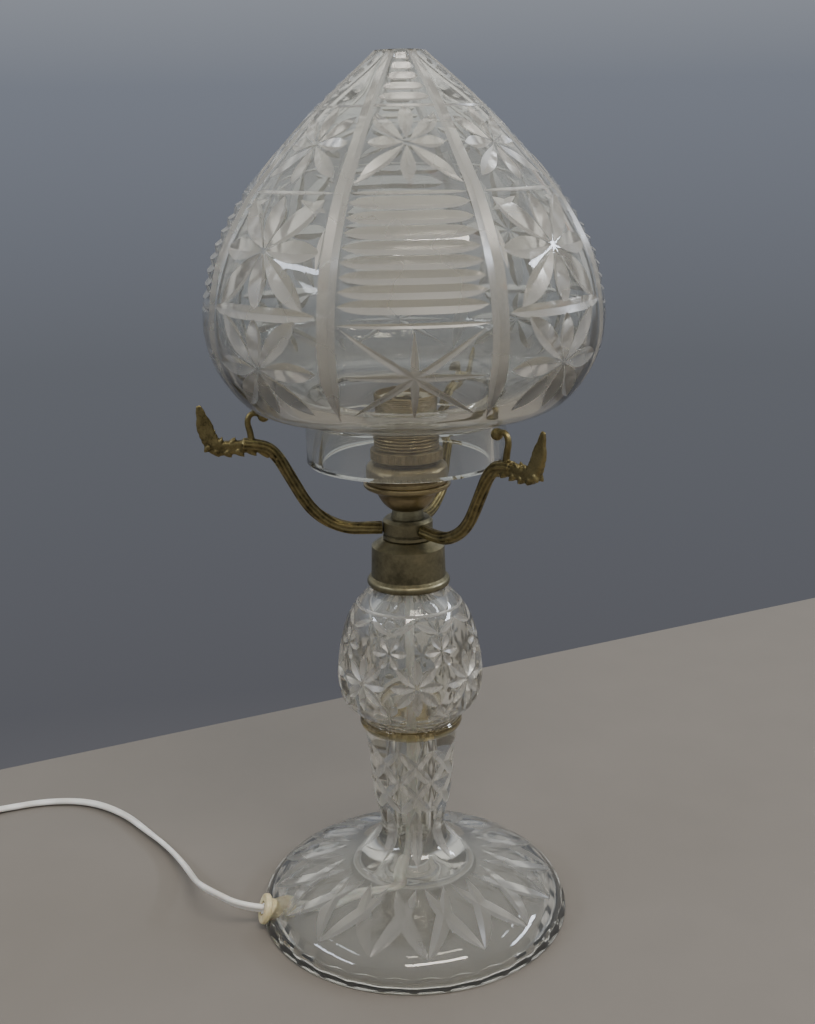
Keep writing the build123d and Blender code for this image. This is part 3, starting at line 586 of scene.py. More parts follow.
def cutting_tree(name):
    """Geometry nodes: repeats one sector's cuts round the axis and takes them from the blank."""
    tree = bpy.data.node_groups.new(name, "GeometryNodeTree")
    face = tree.interface
    face.new_socket("Geometry", in_out="INPUT", socket_type="NodeSocketGeometry")
    face.new_socket("Sector cuts", in_out="INPUT", socket_type="NodeSocketObject")
    sectors = face.new_socket("Sectors", in_out="INPUT", socket_type="NodeSocketInt")
    sectors.default_value = 4
    turn = face.new_socket("Turn", in_out="INPUT", socket_type="NodeSocketFloat")
    turn.subtype = "ANGLE"
    face.new_socket("Ring cuts", in_out="INPUT", socket_type="NodeSocketObject")
    face.new_socket("Cut finish", in_out="INPUT", socket_type="NodeSocketMaterial")
    face.new_socket("Geometry", in_out="OUTPUT", socket_type="NodeSocketGeometry")
    given = add(tree, "NodeGroupInput")

    def marked(socket):
        """The cutters of this object, each face marked as ground."""
        cutters = add(tree, "GeometryNodeObjectInfo", {"Object": given.outputs[socket]})
        return add(
            tree,
            "GeometryNodeStoreNamedAttribute",
            {"Geometry": cutters.outputs["Geometry"], "Name": "ground", "Value": True},
            data_type="BOOLEAN",
            domain="FACE",
        ).outputs[0]

    def one_by_one(cutters):
        """An instance for each separate cutter, so that the boolean can take cutters that cross."""
        island = add(tree, "GeometryNodeInputMeshIsland")
        return add(
            tree,
            "GeometryNodeSplitToInstances",
            {"Geometry": cutters, "Group ID": island.outputs["Island Index"]},
            domain="FACE",
        ).outputs["Instances"]

    points = add(tree, "GeometryNodeMeshLine", {"Count": given.outputs["Sectors"], "Offset": (0.0, 0.0, 0.0)})
    index = add(tree, "GeometryNodeInputIndex")
    step = add(tree, "ShaderNodeMath", {0: 2 * math.pi, 1: given.outputs["Sectors"]}, operation="DIVIDE")
    angle = add(
        tree,
        "ShaderNodeMath",
        {0: index.outputs[0], 1: step.outputs[0], 2: given.outputs["Turn"]},
        operation="MULTIPLY_ADD",
    )
    way = add(tree, "ShaderNodeCombineXYZ", {"Z": angle.outputs[0]})
    around = add(
        tree,
        "GeometryNodeInstanceOnPoints",
        {"Points": points.outputs[0], "Instance": marked("Sector cuts"), "Rotation": way.outputs[0]},
    )
    # The boolean passes over instances inside instances, so the repeats are made real first.
    repeated = add(tree, "GeometryNodeRealizeInstances", {"Geometry": around.outputs[0]})
    taken = add(
        tree,
        "GeometryNodeMeshBoolean",
        {"Mesh 1": given.outputs["Geometry"]},
        operation="DIFFERENCE",
        solver="MANIFOLD",
    )
    tree.links.new(one_by_one(repeated.outputs[0]), taken.inputs["Mesh 2"])
    tree.links.new(one_by_one(marked("Ring cuts")), taken.inputs["Mesh 2"])
    real = add(tree, "GeometryNodeRealizeInstances", {"Geometry": taken.outputs["Mesh"]})
    ground = add(tree, "GeometryNodeInputNamedAttribute", {"Name": "ground"}, data_type="BOOLEAN")
    painted = add(
        tree,
        "GeometryNodeSetMaterial",
        {
            "Geometry": real.outputs[0],
            "Selection": ground.outputs["Attribute"],
            "Material": given.outputs["Cut finish"],
        },
    )
    result = add(tree, "NodeGroupOutput")
    tree.links.new(painted.outputs[0], result.inputs[0])
    return tree


def run_nodes(made, tree, values):
    """Runs a tree on an object and leaves the result as plain mesh."""
    modifier = made.modifiers.new("pattern", "NODES")
    modifier.node_group = tree
    for item in tree.interface.items_tree:
        if getattr(item, "in_out", "") == "INPUT" and item.name in values:
            modifier[item.identifier] = values[item.name]
    made.update_tag()
    bpy.context.view_layer.update()
    ready = made.evaluated_get(bpy.context.evaluated_depsgraph_get())
    mesh = bpy.data.meshes.new_from_object(ready)
    made.modifiers.remove(modifier)
    old = made.data
    made.data = mesh
    bpy.data.meshes.remove(old)
    return made


def cut_blank(blank, pattern, rings, sectors, turn, finish="cut"):
    """Takes the repeated pattern and the ring grooves from a blank, leaving them in this finish."""
    rings_object = join(blank.name + "_rings", rings)
    cuts = pattern.build(blank.name + "_cuts")
    tree = cutting_tree(blank.name + "_cutting")
    run_nodes(
        blank,
        tree,
        {
            "Sector cuts": cuts,
            "Sectors": sectors,
            "Turn": math.radians(turn),
            "Ring cuts": rings_object,
            "Cut finish": material_for(finish),
        },
    )
    # A later pass paints only its own cuts.
    blank.data.attributes.remove(blank.data.attributes["ground"])
    bpy.data.objects.remove(cuts, do_unlink=True)
    bpy.data.objects.remove(rings_object, do_unlink=True)
    soften(blank, 16)
    return blank


# ---------------------------------------------------------------- sizes and colours


class LampSizes(bpy.types.PropertyGroup):
    """Sizes of the cutting and of the flex."""

    flute_width: FloatProperty(
        name="Flute width", description="Upright flute at the shade's widest", default=7.0 * MM, unit="LENGTH"
    )
    petal_width: FloatProperty(
        name="Petal width", description="Widest part of a star's petal", default=6.4 * MM, unit="LENGTH"
    )
    lens_pitch: FloatProperty(
        name="Lens pitch", description="Height between the level lens cuts", default=5.1 * MM, unit="LENGTH"
    )
    wheel: FloatProperty(
        name="Wheel edge", description="Depth of a cut over its width", default=0.24, min=0.1, max=0.6
    )
    shade_sectors: IntProperty(
        name="Shade sectors", description="Times the shade's pattern repeats", default=4, min=2, max=8
    )
    foot_points: IntProperty(
        name="Foot points", description="Points of the zigzag round the foot", default=16, min=8, max=32
    )
    strand: FloatProperty(
        name="Strand",
        description="Thickness of one of the flex's two strands",
        default=2.6 * MM,
        unit="LENGTH",
    )


class LampColours(bpy.types.PropertyGroup):
    """Colours of the visible finishes."""

    crystal: FloatVectorProperty(
        name="Crystal", description="Tint of the polished glass", subtype="COLOR", default=srgb("#fbfcf8")
    )
    cut: FloatVectorProperty(
        name="Cut facets",
        description="Tint of the wheel-cut facets",
        subtype="COLOR",
        default=srgb("#fbf9f2"),
    )
    flex: FloatVectorProperty(
        name="Flex", description="Colour of the flex", subtype="COLOR", default=srgb(FLEX_WHITE)
    )
    floor: FloatVectorProperty(
        name="Floor", description="Colour of the floor", subtype="COLOR", default=srgb("#79736c")
    )


# ---------------------------------------------------------------- flex route (in metres)

BUSH_ANGLE = math.radians(195)  # where the bushing stands, round the lamp's axis
BUSH_RISE = math.radians(18)  # how far its own axis points up
SWITCH_ANGLE = math.radians(213)  # the way the flex runs through the switch
BUSH_FLAT = Vector((math.cos(BUSH_ANGLE), math.sin(BUSH_ANGLE), 0))
BUSH_OUT = Vector(
    (
        math.cos(BUSH_ANGLE) * math.cos(BUSH_RISE),
        math.sin(BUSH_ANGLE) * math.cos(BUSH_RISE),
        math.sin(BUSH_RISE),
    )
)
EXIT = BUSH_FLAT * 0.0702 + Vector((0, 0, 0.009)) + BUSH_OUT * 0.003
SWITCH_WAY = Vector((math.cos(SWITCH_ANGLE), math.sin(SWITCH_ANGLE), 0))
SWITCH_IN = Vector((-0.263, 0.0716, 0.007))
SWITCH_OUT = SWITCH_IN + SWITCH_WAY * 0.058
COIL_CENTRE = Vector((-0.300, -0.020, 0))
PLUG_END = Vector((-0.268, -0.058, 0.0068))
FLAT = 0.0015  # centre height of the flex where it lies flat


def lead_route():
    """From the bushing to the switch: the CAD's route, raised in the first bow."""
    return [
        EXIT,
        EXIT + BUSH_OUT * 0.011,
        Vector((-0.0908, -0.0175, 0.0165)), Vector((-0.0985, -0.0090, 0.0150)),
        Vector((-0.1038, 0.0020, 0.0110)), Vector((-0.1090, 0.0155, 0.0070)),
        Vector((-0.1160, 0.0315, 0.0043)), Vector((-0.1264, 0.0489, 0.0029)),
        Vector((-0.1400, 0.0660, 0.0024)), Vector((-0.1570, 0.0865, 0.0022)),
        Vector((-0.1788, 0.1013, 0.0018)), Vector((-0.2025, 0.1030, FLAT)),
        Vector((-0.2260, 0.0950, FLAT)), Vector((-0.2470, 0.0820, 0.0040)),
        SWITCH_IN,
    ]


def coil_route():
    """Seven and a quarter turns in two columns and four layers, ready for storage."""
    columns = [0.0338, 0.0282, 0.0282, 0.0338, 0.0338, 0.0282, 0.0282, 0.0338]
    layers = [0, 0, 1, 1, 2, 2, 3, 3]
    pitch = 0.0030  # from layer to layer
    per_turn = 16
    first = 2  # the flex comes in along these points of the first turn
    shift = 0.115  # part of a turn that each change of place takes
    points = []
    for i in range(first, int(7.25 * per_turn)):
        turns = i / per_turn
        k = int(turns)
        within = turns - k
        # Each change of place comes a little before the one of the turn under it.
        begin = 0.84 - shift * k
        move = min(max((within - begin) / shift, 0), 1)
        move = move * move * (3 - 2 * move)
        after = min(k + 1, 7)
        radius = columns[k] + (columns[after] - columns[k]) * move
        height = FLAT + pitch * (layers[k] + (layers[after] - layers[k]) * move)
        angle = math.pi + 2 * math.pi * turns
        points.append(COIL_CENTRE + Vector((radius * math.cos(angle), radius * math.sin(angle), height)))
    return points


def rest_route():
    """From the switch through the coil to the plug."""
    return (
        [
            SWITCH_OUT,
            SWITCH_OUT + SWITCH_WAY * 0.012 + Vector((0, 0, -0.002)),
            Vector((-0.3296, 0.0220, 0.0024)), Vector((-0.3334, 0.0050, FLAT)),
            Vector((-0.3338, -0.0120, FLAT)),
        ]
        + coil_route()
        + [Vector((-0.2910, -0.0556, 0.0096)), Vector((-0.2810, -0.0578, 0.0070)), PLUG_END]
    )


def inner_route():
    """From the bushing across the foot and up the stem."""

    def point(reach, height):
        return BUSH_FLAT * reach + Vector((0, 0, height))

    return [
        EXIT,
        EXIT - BUSH_OUT * 0.023,
        point(0.028, 0.0066),
        point(0.0066, 0.015),
        Vector((0, 0, 0.036)), Vector((0, 0, 0.120)), Vector((0, 0, 0.205)),
    ]


def smooth_line(points, resolution=10):
    """Points on the NURBS line with these control points."""
    curve = bpy.data.curves.new("route", "CURVE")
    curve.dimensions = "3D"
    curve.resolution_u = resolution
    spline = curve.splines.new("NURBS")
    spline.points.add(len(points) - 1)
    for target, source in zip(spline.points, points):
        target.co = (*source, 1)
    spline.order_u = 3
    spline.use_endpoint_u = True
    holder = bpy.data.objects.new("route", curve)
    bpy.context.collection.objects.link(holder)
    bpy.context.view_layer.update()
    mesh = bpy.data.meshes.new_from_object(holder.evaluated_get(bpy.context.evaluated_depsgraph_get()))
    line = [v.co.copy() for v in mesh.vertices]
    bpy.data.objects.remove(holder, do_unlink=True)
    bpy.data.meshes.remove(mesh)
    bpy.data.curves.remove(curve)
    return line


def upright_line(points, resolution=14):
    """The same line for (reach, height) points in the plane that runs out along X."""
    return smooth_line([Vector((x, 0, z)) for x, z in points], resolution)


def circle(radius, count):
    """Points round a circle."""
    turns = [2 * math.pi * k / count for k in range(count)]
    return [(radius * math.cos(a), radius * math.sin(a)) for a in turns]


def twin_flex(name, line, strand, turn_at):
    """Flat twin flex: two round strands that meet in a web, carried along a line.

    turn_at(fraction of the way) gives its roll in degrees.
    """
    per_strand = 9  # points round each strand, with a gap of 60 degrees at the web
    vertices, faces = [], []
    r = strand / 2
    ring = []
    for side in (1, -1):
        for k in range(per_strand):
            angle = math.radians(-150 + 300 * k / (per_strand - 1))
            ring.append((side * (r + r * math.cos(angle)), side * r * math.sin(angle)))
    total = len(line) - 1
    last_side = Vector((0, 1, 0))
    width = len(ring)
    for i, here in enumerate(line):
        ahead = (line[min(i + 1, total)] - line[max(i - 1, 0)]).normalized()
        side = Vector((0, 0, 1)).cross(ahead)
        if side.length < 0.25:
            side = last_side - ahead * last_side.dot(ahead)
        side.normalize()
        last_side = side
        lift = ahead.cross(side)
        roll = math.radians(turn_at(i / total))
        a = side * math.cos(roll) + lift * math.sin(roll)
        b = lift * math.cos(roll) - side * math.sin(roll)
        for across, above in ring:
            vertices.append(here + a * across + b * above)
    for i in range(total):
        for k in range(width):
            n = (k + 1) % width
            faces.append((i * width + k, i * width + n, (i + 1) * width + n, (i + 1) * width + k))
    faces.append(tuple(reversed(range(width))))
    faces.append(tuple(range(total * width, (total + 1) * width)))
    mesh = bpy.data.meshes.new(name)
    mesh.from_pydata([tuple(v) for v in vertices], [], faces)
    mesh.materials.append(material_for("flex"))
    made = bpy.data.objects.new(name, mesh)
    bpy.context.collection.objects.link(made)
    face_outward(made)
    soften(made, 50)
    return made


# ---------------------------------------------------------------- operators

LIT_POINT = Vector((0, 0, 0.18))  # the lights face the middle of the lamp
VOXEL = 0.30 * MM  # cell of the mesh that makes each arm one piece


class LAMP_OT_stage(bpy.types.Operator):
    """Camera, floor, backdrop and soft studio light"""

    bl_idname = "lamp.stage"
    bl_label = "Stage"

    def execute(self, context):
        lens = bpy.data.cameras.new("camera")
        lens.sensor_fit = "VERTICAL"
        lens.sensor_height = 36.0
        lens.lens = 45.7
        lens.clip_start = 0.01
        lens.clip_end = 50
        camera = bpy.data.objects.new("camera", lens)
        context.collection.objects.link(camera)
        camera.matrix_world = (
            Matrix.Translation((0, -0.5485, 0.3519))
            @ Matrix.Rotation(math.radians(74.0), 4, "X")
            @ Matrix.Rotation(math.radians(-1.0), 4, "Z")
        )
        context.scene.camera = camera

        # Pale table top; beyond its edge the plain backdrop shows.
        floor = object_from(
            "floor",
            [(-2600, -1500, 0), (1500, -1500, 0), (1500, 980, 0), (-2600, -986, 0)],
            [(0, 1, 2, 3)],
        )
        material, tree, output = new_material("pale_painted_floor")
        place = add(tree, "ShaderNodeTexCoord").outputs["Object"]
        fine = add(tree, "ShaderNodeTexNoise", {"Vector": place, "Scale": 30.0, "Detail": 5.0})
        base = tuple(context.scene.lamp_colours.floor)
        tone = ramp(tree, fine.outputs["Fac"], [(0.3, tuple(c * 0.96 for c in base)), (0.7, base)])
        paint = add(tree, "ShaderNodeBsdfPrincipled", {"Base Color": tone, "Roughness": 0.55})
        tree.links.new(paint.outputs[0], output.inputs["Surface"])
        floor.data.materials.append(material)

        # Backdrop: plain blue-grey round the horizon, brighter overhead.
        world = bpy.data.worlds.new("studio")
        world.use_nodes = True
        sky = world.node_tree
        sky.nodes.clear()
        way = add(sky, "ShaderNodeTexCoord").outputs["Generated"]
        height = add(sky, "ShaderNodeSeparateXYZ", {0: way}).outputs["Z"]
        lifted = add(
            sky, "ShaderNodeMapRange", {"Value": height, "From Min": -1.0, "From Max": 1.0}
        ).outputs[0]
        colour = ramp(
            sky,
            lifted,
            [
                (0.0, srgb("#9a958f")), (0.30, srgb("#5c5d63")), (0.42, srgb("#65686f")),
                (0.52, srgb("#7a7f8a")), (0.62, srgb("#b4b8bd")), (0.85, srgb("#f2f2ee")),
            ],
        )
        glow = add(sky, "ShaderNodeBackground", {"Color": colour, "Strength": 0.95})
        end = add(sky, "ShaderNodeOutputWorld")
        sky.links.new(glow.outputs[0], end.inputs["Surface"])
        context.scene.world = world

        lamps = [
            ("key_light", (0.35, -0.9, 1.5), (1.1, 0.16), 14.0, "#fff6ea"),
            ("window_light", (1.3, 0.2, 0.9), (0.9, 0.1), 8.0, "#e8f0ff"),
            ("fill_light", (-1.2, -0.5, 1.0), (0.9, 0.1), 5.0, "#e8f0ff"),
        ]
        for name, place, size, power, colour_code in lamps:
            light = bpy.data.lights.new(name, "AREA")
            light.shape = "RECTANGLE"
            light.size, light.size_y = size
            light.energy = power
            light.color = srgb(colour_code)
            holder = bpy.data.objects.new(name, light)
            context.collection.objects.link(holder)
            away = Vector(place) - LIT_POINT
            turn = away.to_track_quat("Z", "Y").to_matrix().to_4x4()
            holder.matrix_world = Matrix.Translation(place) @ turn
        return {"FINISHED"}


class LAMP_OT_flex(bpy.types.Operator):
    """White twin flex: on the table, through the switch to the coil and the plug, and inside the lamp"""

    bl_idname = "lamp.flex"
    bl_label = "Flex"

    def execute(self, context):
        strand = context.scene.lamp_sizes.strand
        line = smooth_line(lead_route())
        lead = twin_flex("flex_lead", line, strand, lambda t: 55 - 45 * min(max((t - 0.52) / 0.2, 0), 1))
        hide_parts("cord_lead")
        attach(lead, "lamp")

        line = smooth_line(rest_route())
        rest = twin_flex("flex_to_plug", line, strand, lambda t: 0.0)
        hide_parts("cord_mid", "cord_coil", "cord_tail")
        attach(rest, "lamp")

        line = smooth_line(inner_route())
        inner = twin_flex("flex_inside", line, strand, lambda t: 80 - 60 * t)
        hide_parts("inner_flex")
        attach(inner, "lamp")
        return {"FINISHED"}


class LAMP_OT_shade(bpy.types.Operator):
    """Acorn shade of cut crystal"""

    bl_idname = "lamp.shade"
    bl_label = "Cut shade"

    def execute(self, context):
        sizes = context.scene.lamp_sizes
        outside = through(
            [
                (62.0, 243.2), (74.7, 253.6), (82.1, 268.0), (83.8, 284.5), (82.2, 296.2),
                (79.3, 307.0), (73.2, 319.3), (65.5, 331.3), (48.7, 349.9), (34.4, 365.0),
                (23.4, 374.9), (10.4, 386.0),
            ],
            start=(1, 0.25),
            end=(-1.15, 1),
            steps=8,
        )
        inside = through(
            [
                (6.0, 382.5), (28.9, 363.5), (61.0, 327.0), (73.7, 304.0), (78.3, 284.0),
                (75.9, 269.0), (67.9, 256.5), (56.0, 248.4),
            ],
            start=(0.8, -1),
            end=(-1, -0.25),
            steps=12,
        )
        collar = [
            (45.0, 243.0), (39.5, 242.2), (37.2, 241.2), (36.6, 239.5), (36.6, 230.0),
            (36.6, 219.4), (37.2, 218.6), (38.6, 218.5), (41.4, 218.5), (42.7, 218.8),
            (43.2, 219.6), (43.2, 230.0), (43.2, 237.2), (43.6, 238.3), (44.6, 238.8),
        ]
        ring = list(outside) + [(6.0, 386.0)] + list(inside) + collar
        blank = turned("cut_shade", ring, AROUND, [material_for("crystal"), material_for("cut")])
        surface = GlassSurface(outside)
        pattern = CutPattern(surface, sizes.wheel)
        at = surface.along
        petal = sizes.petal_width / MM
        flute = sizes.flute_width / MM
        top = surface.s[-1]

        # Upright flutes between the panels.
        for side in (22.5, 67.5):
            pattern.cut(
                (side, top + 0.5), (side, at(249.0)),
                lambda t: flute * (0.60 + 0.48 * min(t * 1.6, 1.0)),
                "fade",
                steps=46,
                wheel=0.17,
            )

        # First panel: steps, star, level lenses and a fine star below.
        for k in range(5):
            z = 383.2 - 3.9 * k
            half = 13.0 + 1.3 * k
            pattern.cut((-half, at(z)), (half, at(z)), 4.6, "band", steps=12)
        small = {0: 19.5, 45: 19.0, 90: 15.0, 135: 23.5, 180: 19.5, 225: 23.5, 270: 15.0, 315: 19.0}
        pattern.star(0, at(351.0), small, petal * 0.95)
        for way in (-1, 1):
            pattern.cut((way * 19.5, at(336.4)), (way * 9.0, at(343.6)), 3.0, "lens", steps=8)
            pattern.cut((way * 17.0, at(362.0)), (way * 9.5, at(356.0)), 2.4, "lens", steps=8)
        pattern.cut((-19.6, at(333.4)), (19.6, at(333.4)), 1.6, "band", steps=16)
        for k in range(8):
            z = 330.0 - sizes.lens_pitch / MM * k
            pattern.cut((-19.8, at(z)), (19.8, at(z)), 5.7, "band", steps=18, wheel=0.24)
        pattern.cut((-19.8, at(287.6)), (19.8, at(287.6)), 2.0, "band", steps=18)
        low = at(268.3)
        fine = 3.4
        pattern.cut((-19.5, at(287.0)), (19.0, at(251.6)), fine, "lens", steps=22)
        pattern.cut((19.5, at(287.0)), (-19.0, at(251.6)), fine, "lens", steps=22)
        pattern.cut((0, at(286.6)), (0, at(250.4)), fine, "lens", steps=20)
        pattern.cut((-19.5, low), (19.5, low), fine, "lens", steps=20)

        # Second panel: three stars between level cuts.
        pattern.star(45, at(350.6), small, petal)
        pattern.cut((25.4, at(333.4)), (64.6, at(333.4)), 1.6, "band", steps=16)
        wide = {0: 23.0, 45: 30.5, 90: 26.5, 135: 32.0, 180: 23.5, 225: 32.0, 270: 26.5, 315: 30.5}
        pattern.star(45, at(313.0), wide, petal * 1.5, fullest=0.55)
        for way in (-1, 1):
            pattern.cut((45 + way * 19.0, at(326.5)), (45 + way * 7.5, at(331.0)), 2.8, "lens", steps=8)
            pattern.cut((45 + way * 19.0, at(306.0)), (45 + way * 19.4, at(321.0)), 2.8, "lens", steps=8)
        pattern.cut((25.2, at(290.4)), (64.8, at(290.4)), 5.6, "band", steps=18)
        broad = {0: 20.0, 45: 29.0, 90: 27.5, 135: 28.0, 180: 21.5, 225: 28.0, 270: 27.5, 315: 29.0}
        pattern.star(45, at(269.0), broad, petal * 1.4, fullest=0.55)

        rings = [ring_cutter("mitre_ring", surface, at(364.3), 1.5, sizes.wheel)]
        shade = cut_blank(blank, pattern, rings, sizes.shade_sectors, SHADE_TURN)
        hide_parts("shade")
        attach(shade, "shade")
        return {"FINISHED"}


class LAMP_OT_stand(bpy.types.Operator):
    """Domed foot and stem in one piece of cut crystal"""

    bl_idname = "lamp.stand"
    bl_label = "Cut stem and foot"

    def execute(self, context):
        sizes = context.scene.lamp_sizes
        dome = through(
            [
                (72.0, 1.2), (71.1, 6.0), (68.0, 11.0), (60.0, 16.8), (45.0, 22.8), (30.0, 27.8),
                (20.2, 34.4), (14.8, 44.0),
            ],
            start=(0, 1),
            end=(0, 1),
            steps=9,
        )
        taper = through(
            [(14.8, 44.0), (17.7, 59.6), (19.9, 82.8), (21.4, 94.0)],
            start=(0, 1),
            end=(0.1, 1),
            steps=9,
        )
        waist = [(22.3, 94.5), (23.0, 95.4), (23.4, 96.8), (23.2, 98.4), (22.3, 99.4), (22.2, 99.9)]
        ball = through(
            [(22.3, 99.8), (30.5, 108.5), (32.8, 118.0), (31.5, 132.0), (28.4, 145.0), (18.5, 159.0)],
            start=(0.8, 1),
            end=(-1, 0.9),
            steps=10,
        )
        outside = list(dome) + list(taper)[1:] + waist + list(ball)[1:]
        neck = [
            (13.6, 161.0), (13.6, 168.0), (13.6, 174.2), (13.0, 175.0), (9.4, 175.0), (9.0, 174.4),
            (9.0, 158.0),
        ]
        hollow = through(
            [(9.0, 158.0), (16.3, 148.0), (19.3, 126.0), (14.8, 106.0), (7.6, 96.0)],
            start=(0.4, -1),
            end=(-0.3, -1),
            steps=9,
        )
        bore = [(7.0, 94.0), (7.0, 75.0), (7.0, 50.0), (7.0, 28.0)]
        under = through(
            [(7.0, 28.0), (11.5, 24.0), (30.0, 20.6), (45.0, 16.4), (57.0, 11.4), (62.4, 6.0), (64.0, 0.6)],
            start=(0, -1),
            end=(0.15, -1),
            steps=9,
        )
        rim = [(64.4, 0.15), (65.0, 0.0), (70.4, 0.0), (71.4, 0.3)]
        ring = outside + neck + list(hollow)[1:] + bore + list(under)[1:] + rim
        blank = turned("cut_stem_and_foot", ring, AROUND, [material_for("crystal"), material_for("cut")])
        # The ring that stands on the table is ground flat.
        for face in blank.data.polygons:
            if max(blank.data.vertices[v].co.z for v in face.vertices) < 0.4 * MM:
                face.material_index = 1
        surface = GlassSurface(outside)
        at = surface.along
        points = sizes.foot_points
        # The pattern below is for two of the foot's points, an eighth of the way round.
        sector = 360.0 / (points / 2)
        pattern = CutPattern(surface, sizes.wheel)
        low_point = at(13.0)
        high_point = at(27.0)
        step = 360.0 / points
        for k in range(2):
            middle = k * step
            for way in (-1, 1):
                pattern.cut(
                    (middle, low_point), (middle + way * step * 0.86, high_point),
                    7.4,
                    "lens",
                    steps=18,
                    fullest=0.45,
                    wheel=0.15,
                )
        # Flutes round the foot of the stem.
        pattern.cut((0, at(31.0)), (0, at(58.0)), 8.4, "lens", steps=14, fullest=0.55, wheel=0.15)
        # Crossed mitres on the taper, in two rows.
        for low, high in ((56.0, 73.0), (71.0, 88.5)):
            for way in (-1, 1):
                begin = (sector / 2, at(low))
                finish = (sector / 2 + way * sector, at(high))
                pattern.cut(begin, finish, 4.6, "band", steps=12)
        # Stars round the ball, small stars above and below them, and crossed cuts between.
        tall = {0: 13.5, 45: 13.0, 90: 12.2, 135: 13.0, 180: 13.5, 225: 13.0, 270: 12.2, 315: 13.0}
        pattern.star(0, at(124.5), tall, 4.9, fullest=0.55)
        for height, length in ((139.5, 8.0), (110.0, 7.6)):
            pattern.star(sector / 2, at(height), {30.0 + 60.0 * k: length for k in range(6)}, 3.6)
        for way in (-1, 1):
            pattern.cut((0, at(151.5)), (way * sector / 2, at(147.0)), 3.2, "lens", steps=8)
            pattern.cut((0, at(104.0)), (way * sector / 2, at(101.5)), 2.6, "lens", steps=8)
        neck_ring = ring_cutter("neck_ring", surface, at(154.0), 1.4, sizes.wheel)
        stand = cut_blank(blank, pattern, [neck_ring], points // 2, STAND_TURN)
        # Scalloped edge of the foot and the groove at the waist, both polished.
        edge = CutPattern(surface, sizes.wheel)
        for k in range(4):
            edge.cut((k * sector / 4, -0.6), (k * sector / 4, at(8.0)), 13.6, "fade", steps=8, wheel=0.14)
        waist_ring = ring_cutter("waist_ring", surface, at(101.2), 1.2, sizes.wheel)
        stand = cut_blank(stand, edge, [waist_ring], points // 2, STAND_TURN, "crystal")
        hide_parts("glass_base")
        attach(stand, "lamp")
        return {"FINISHED"}


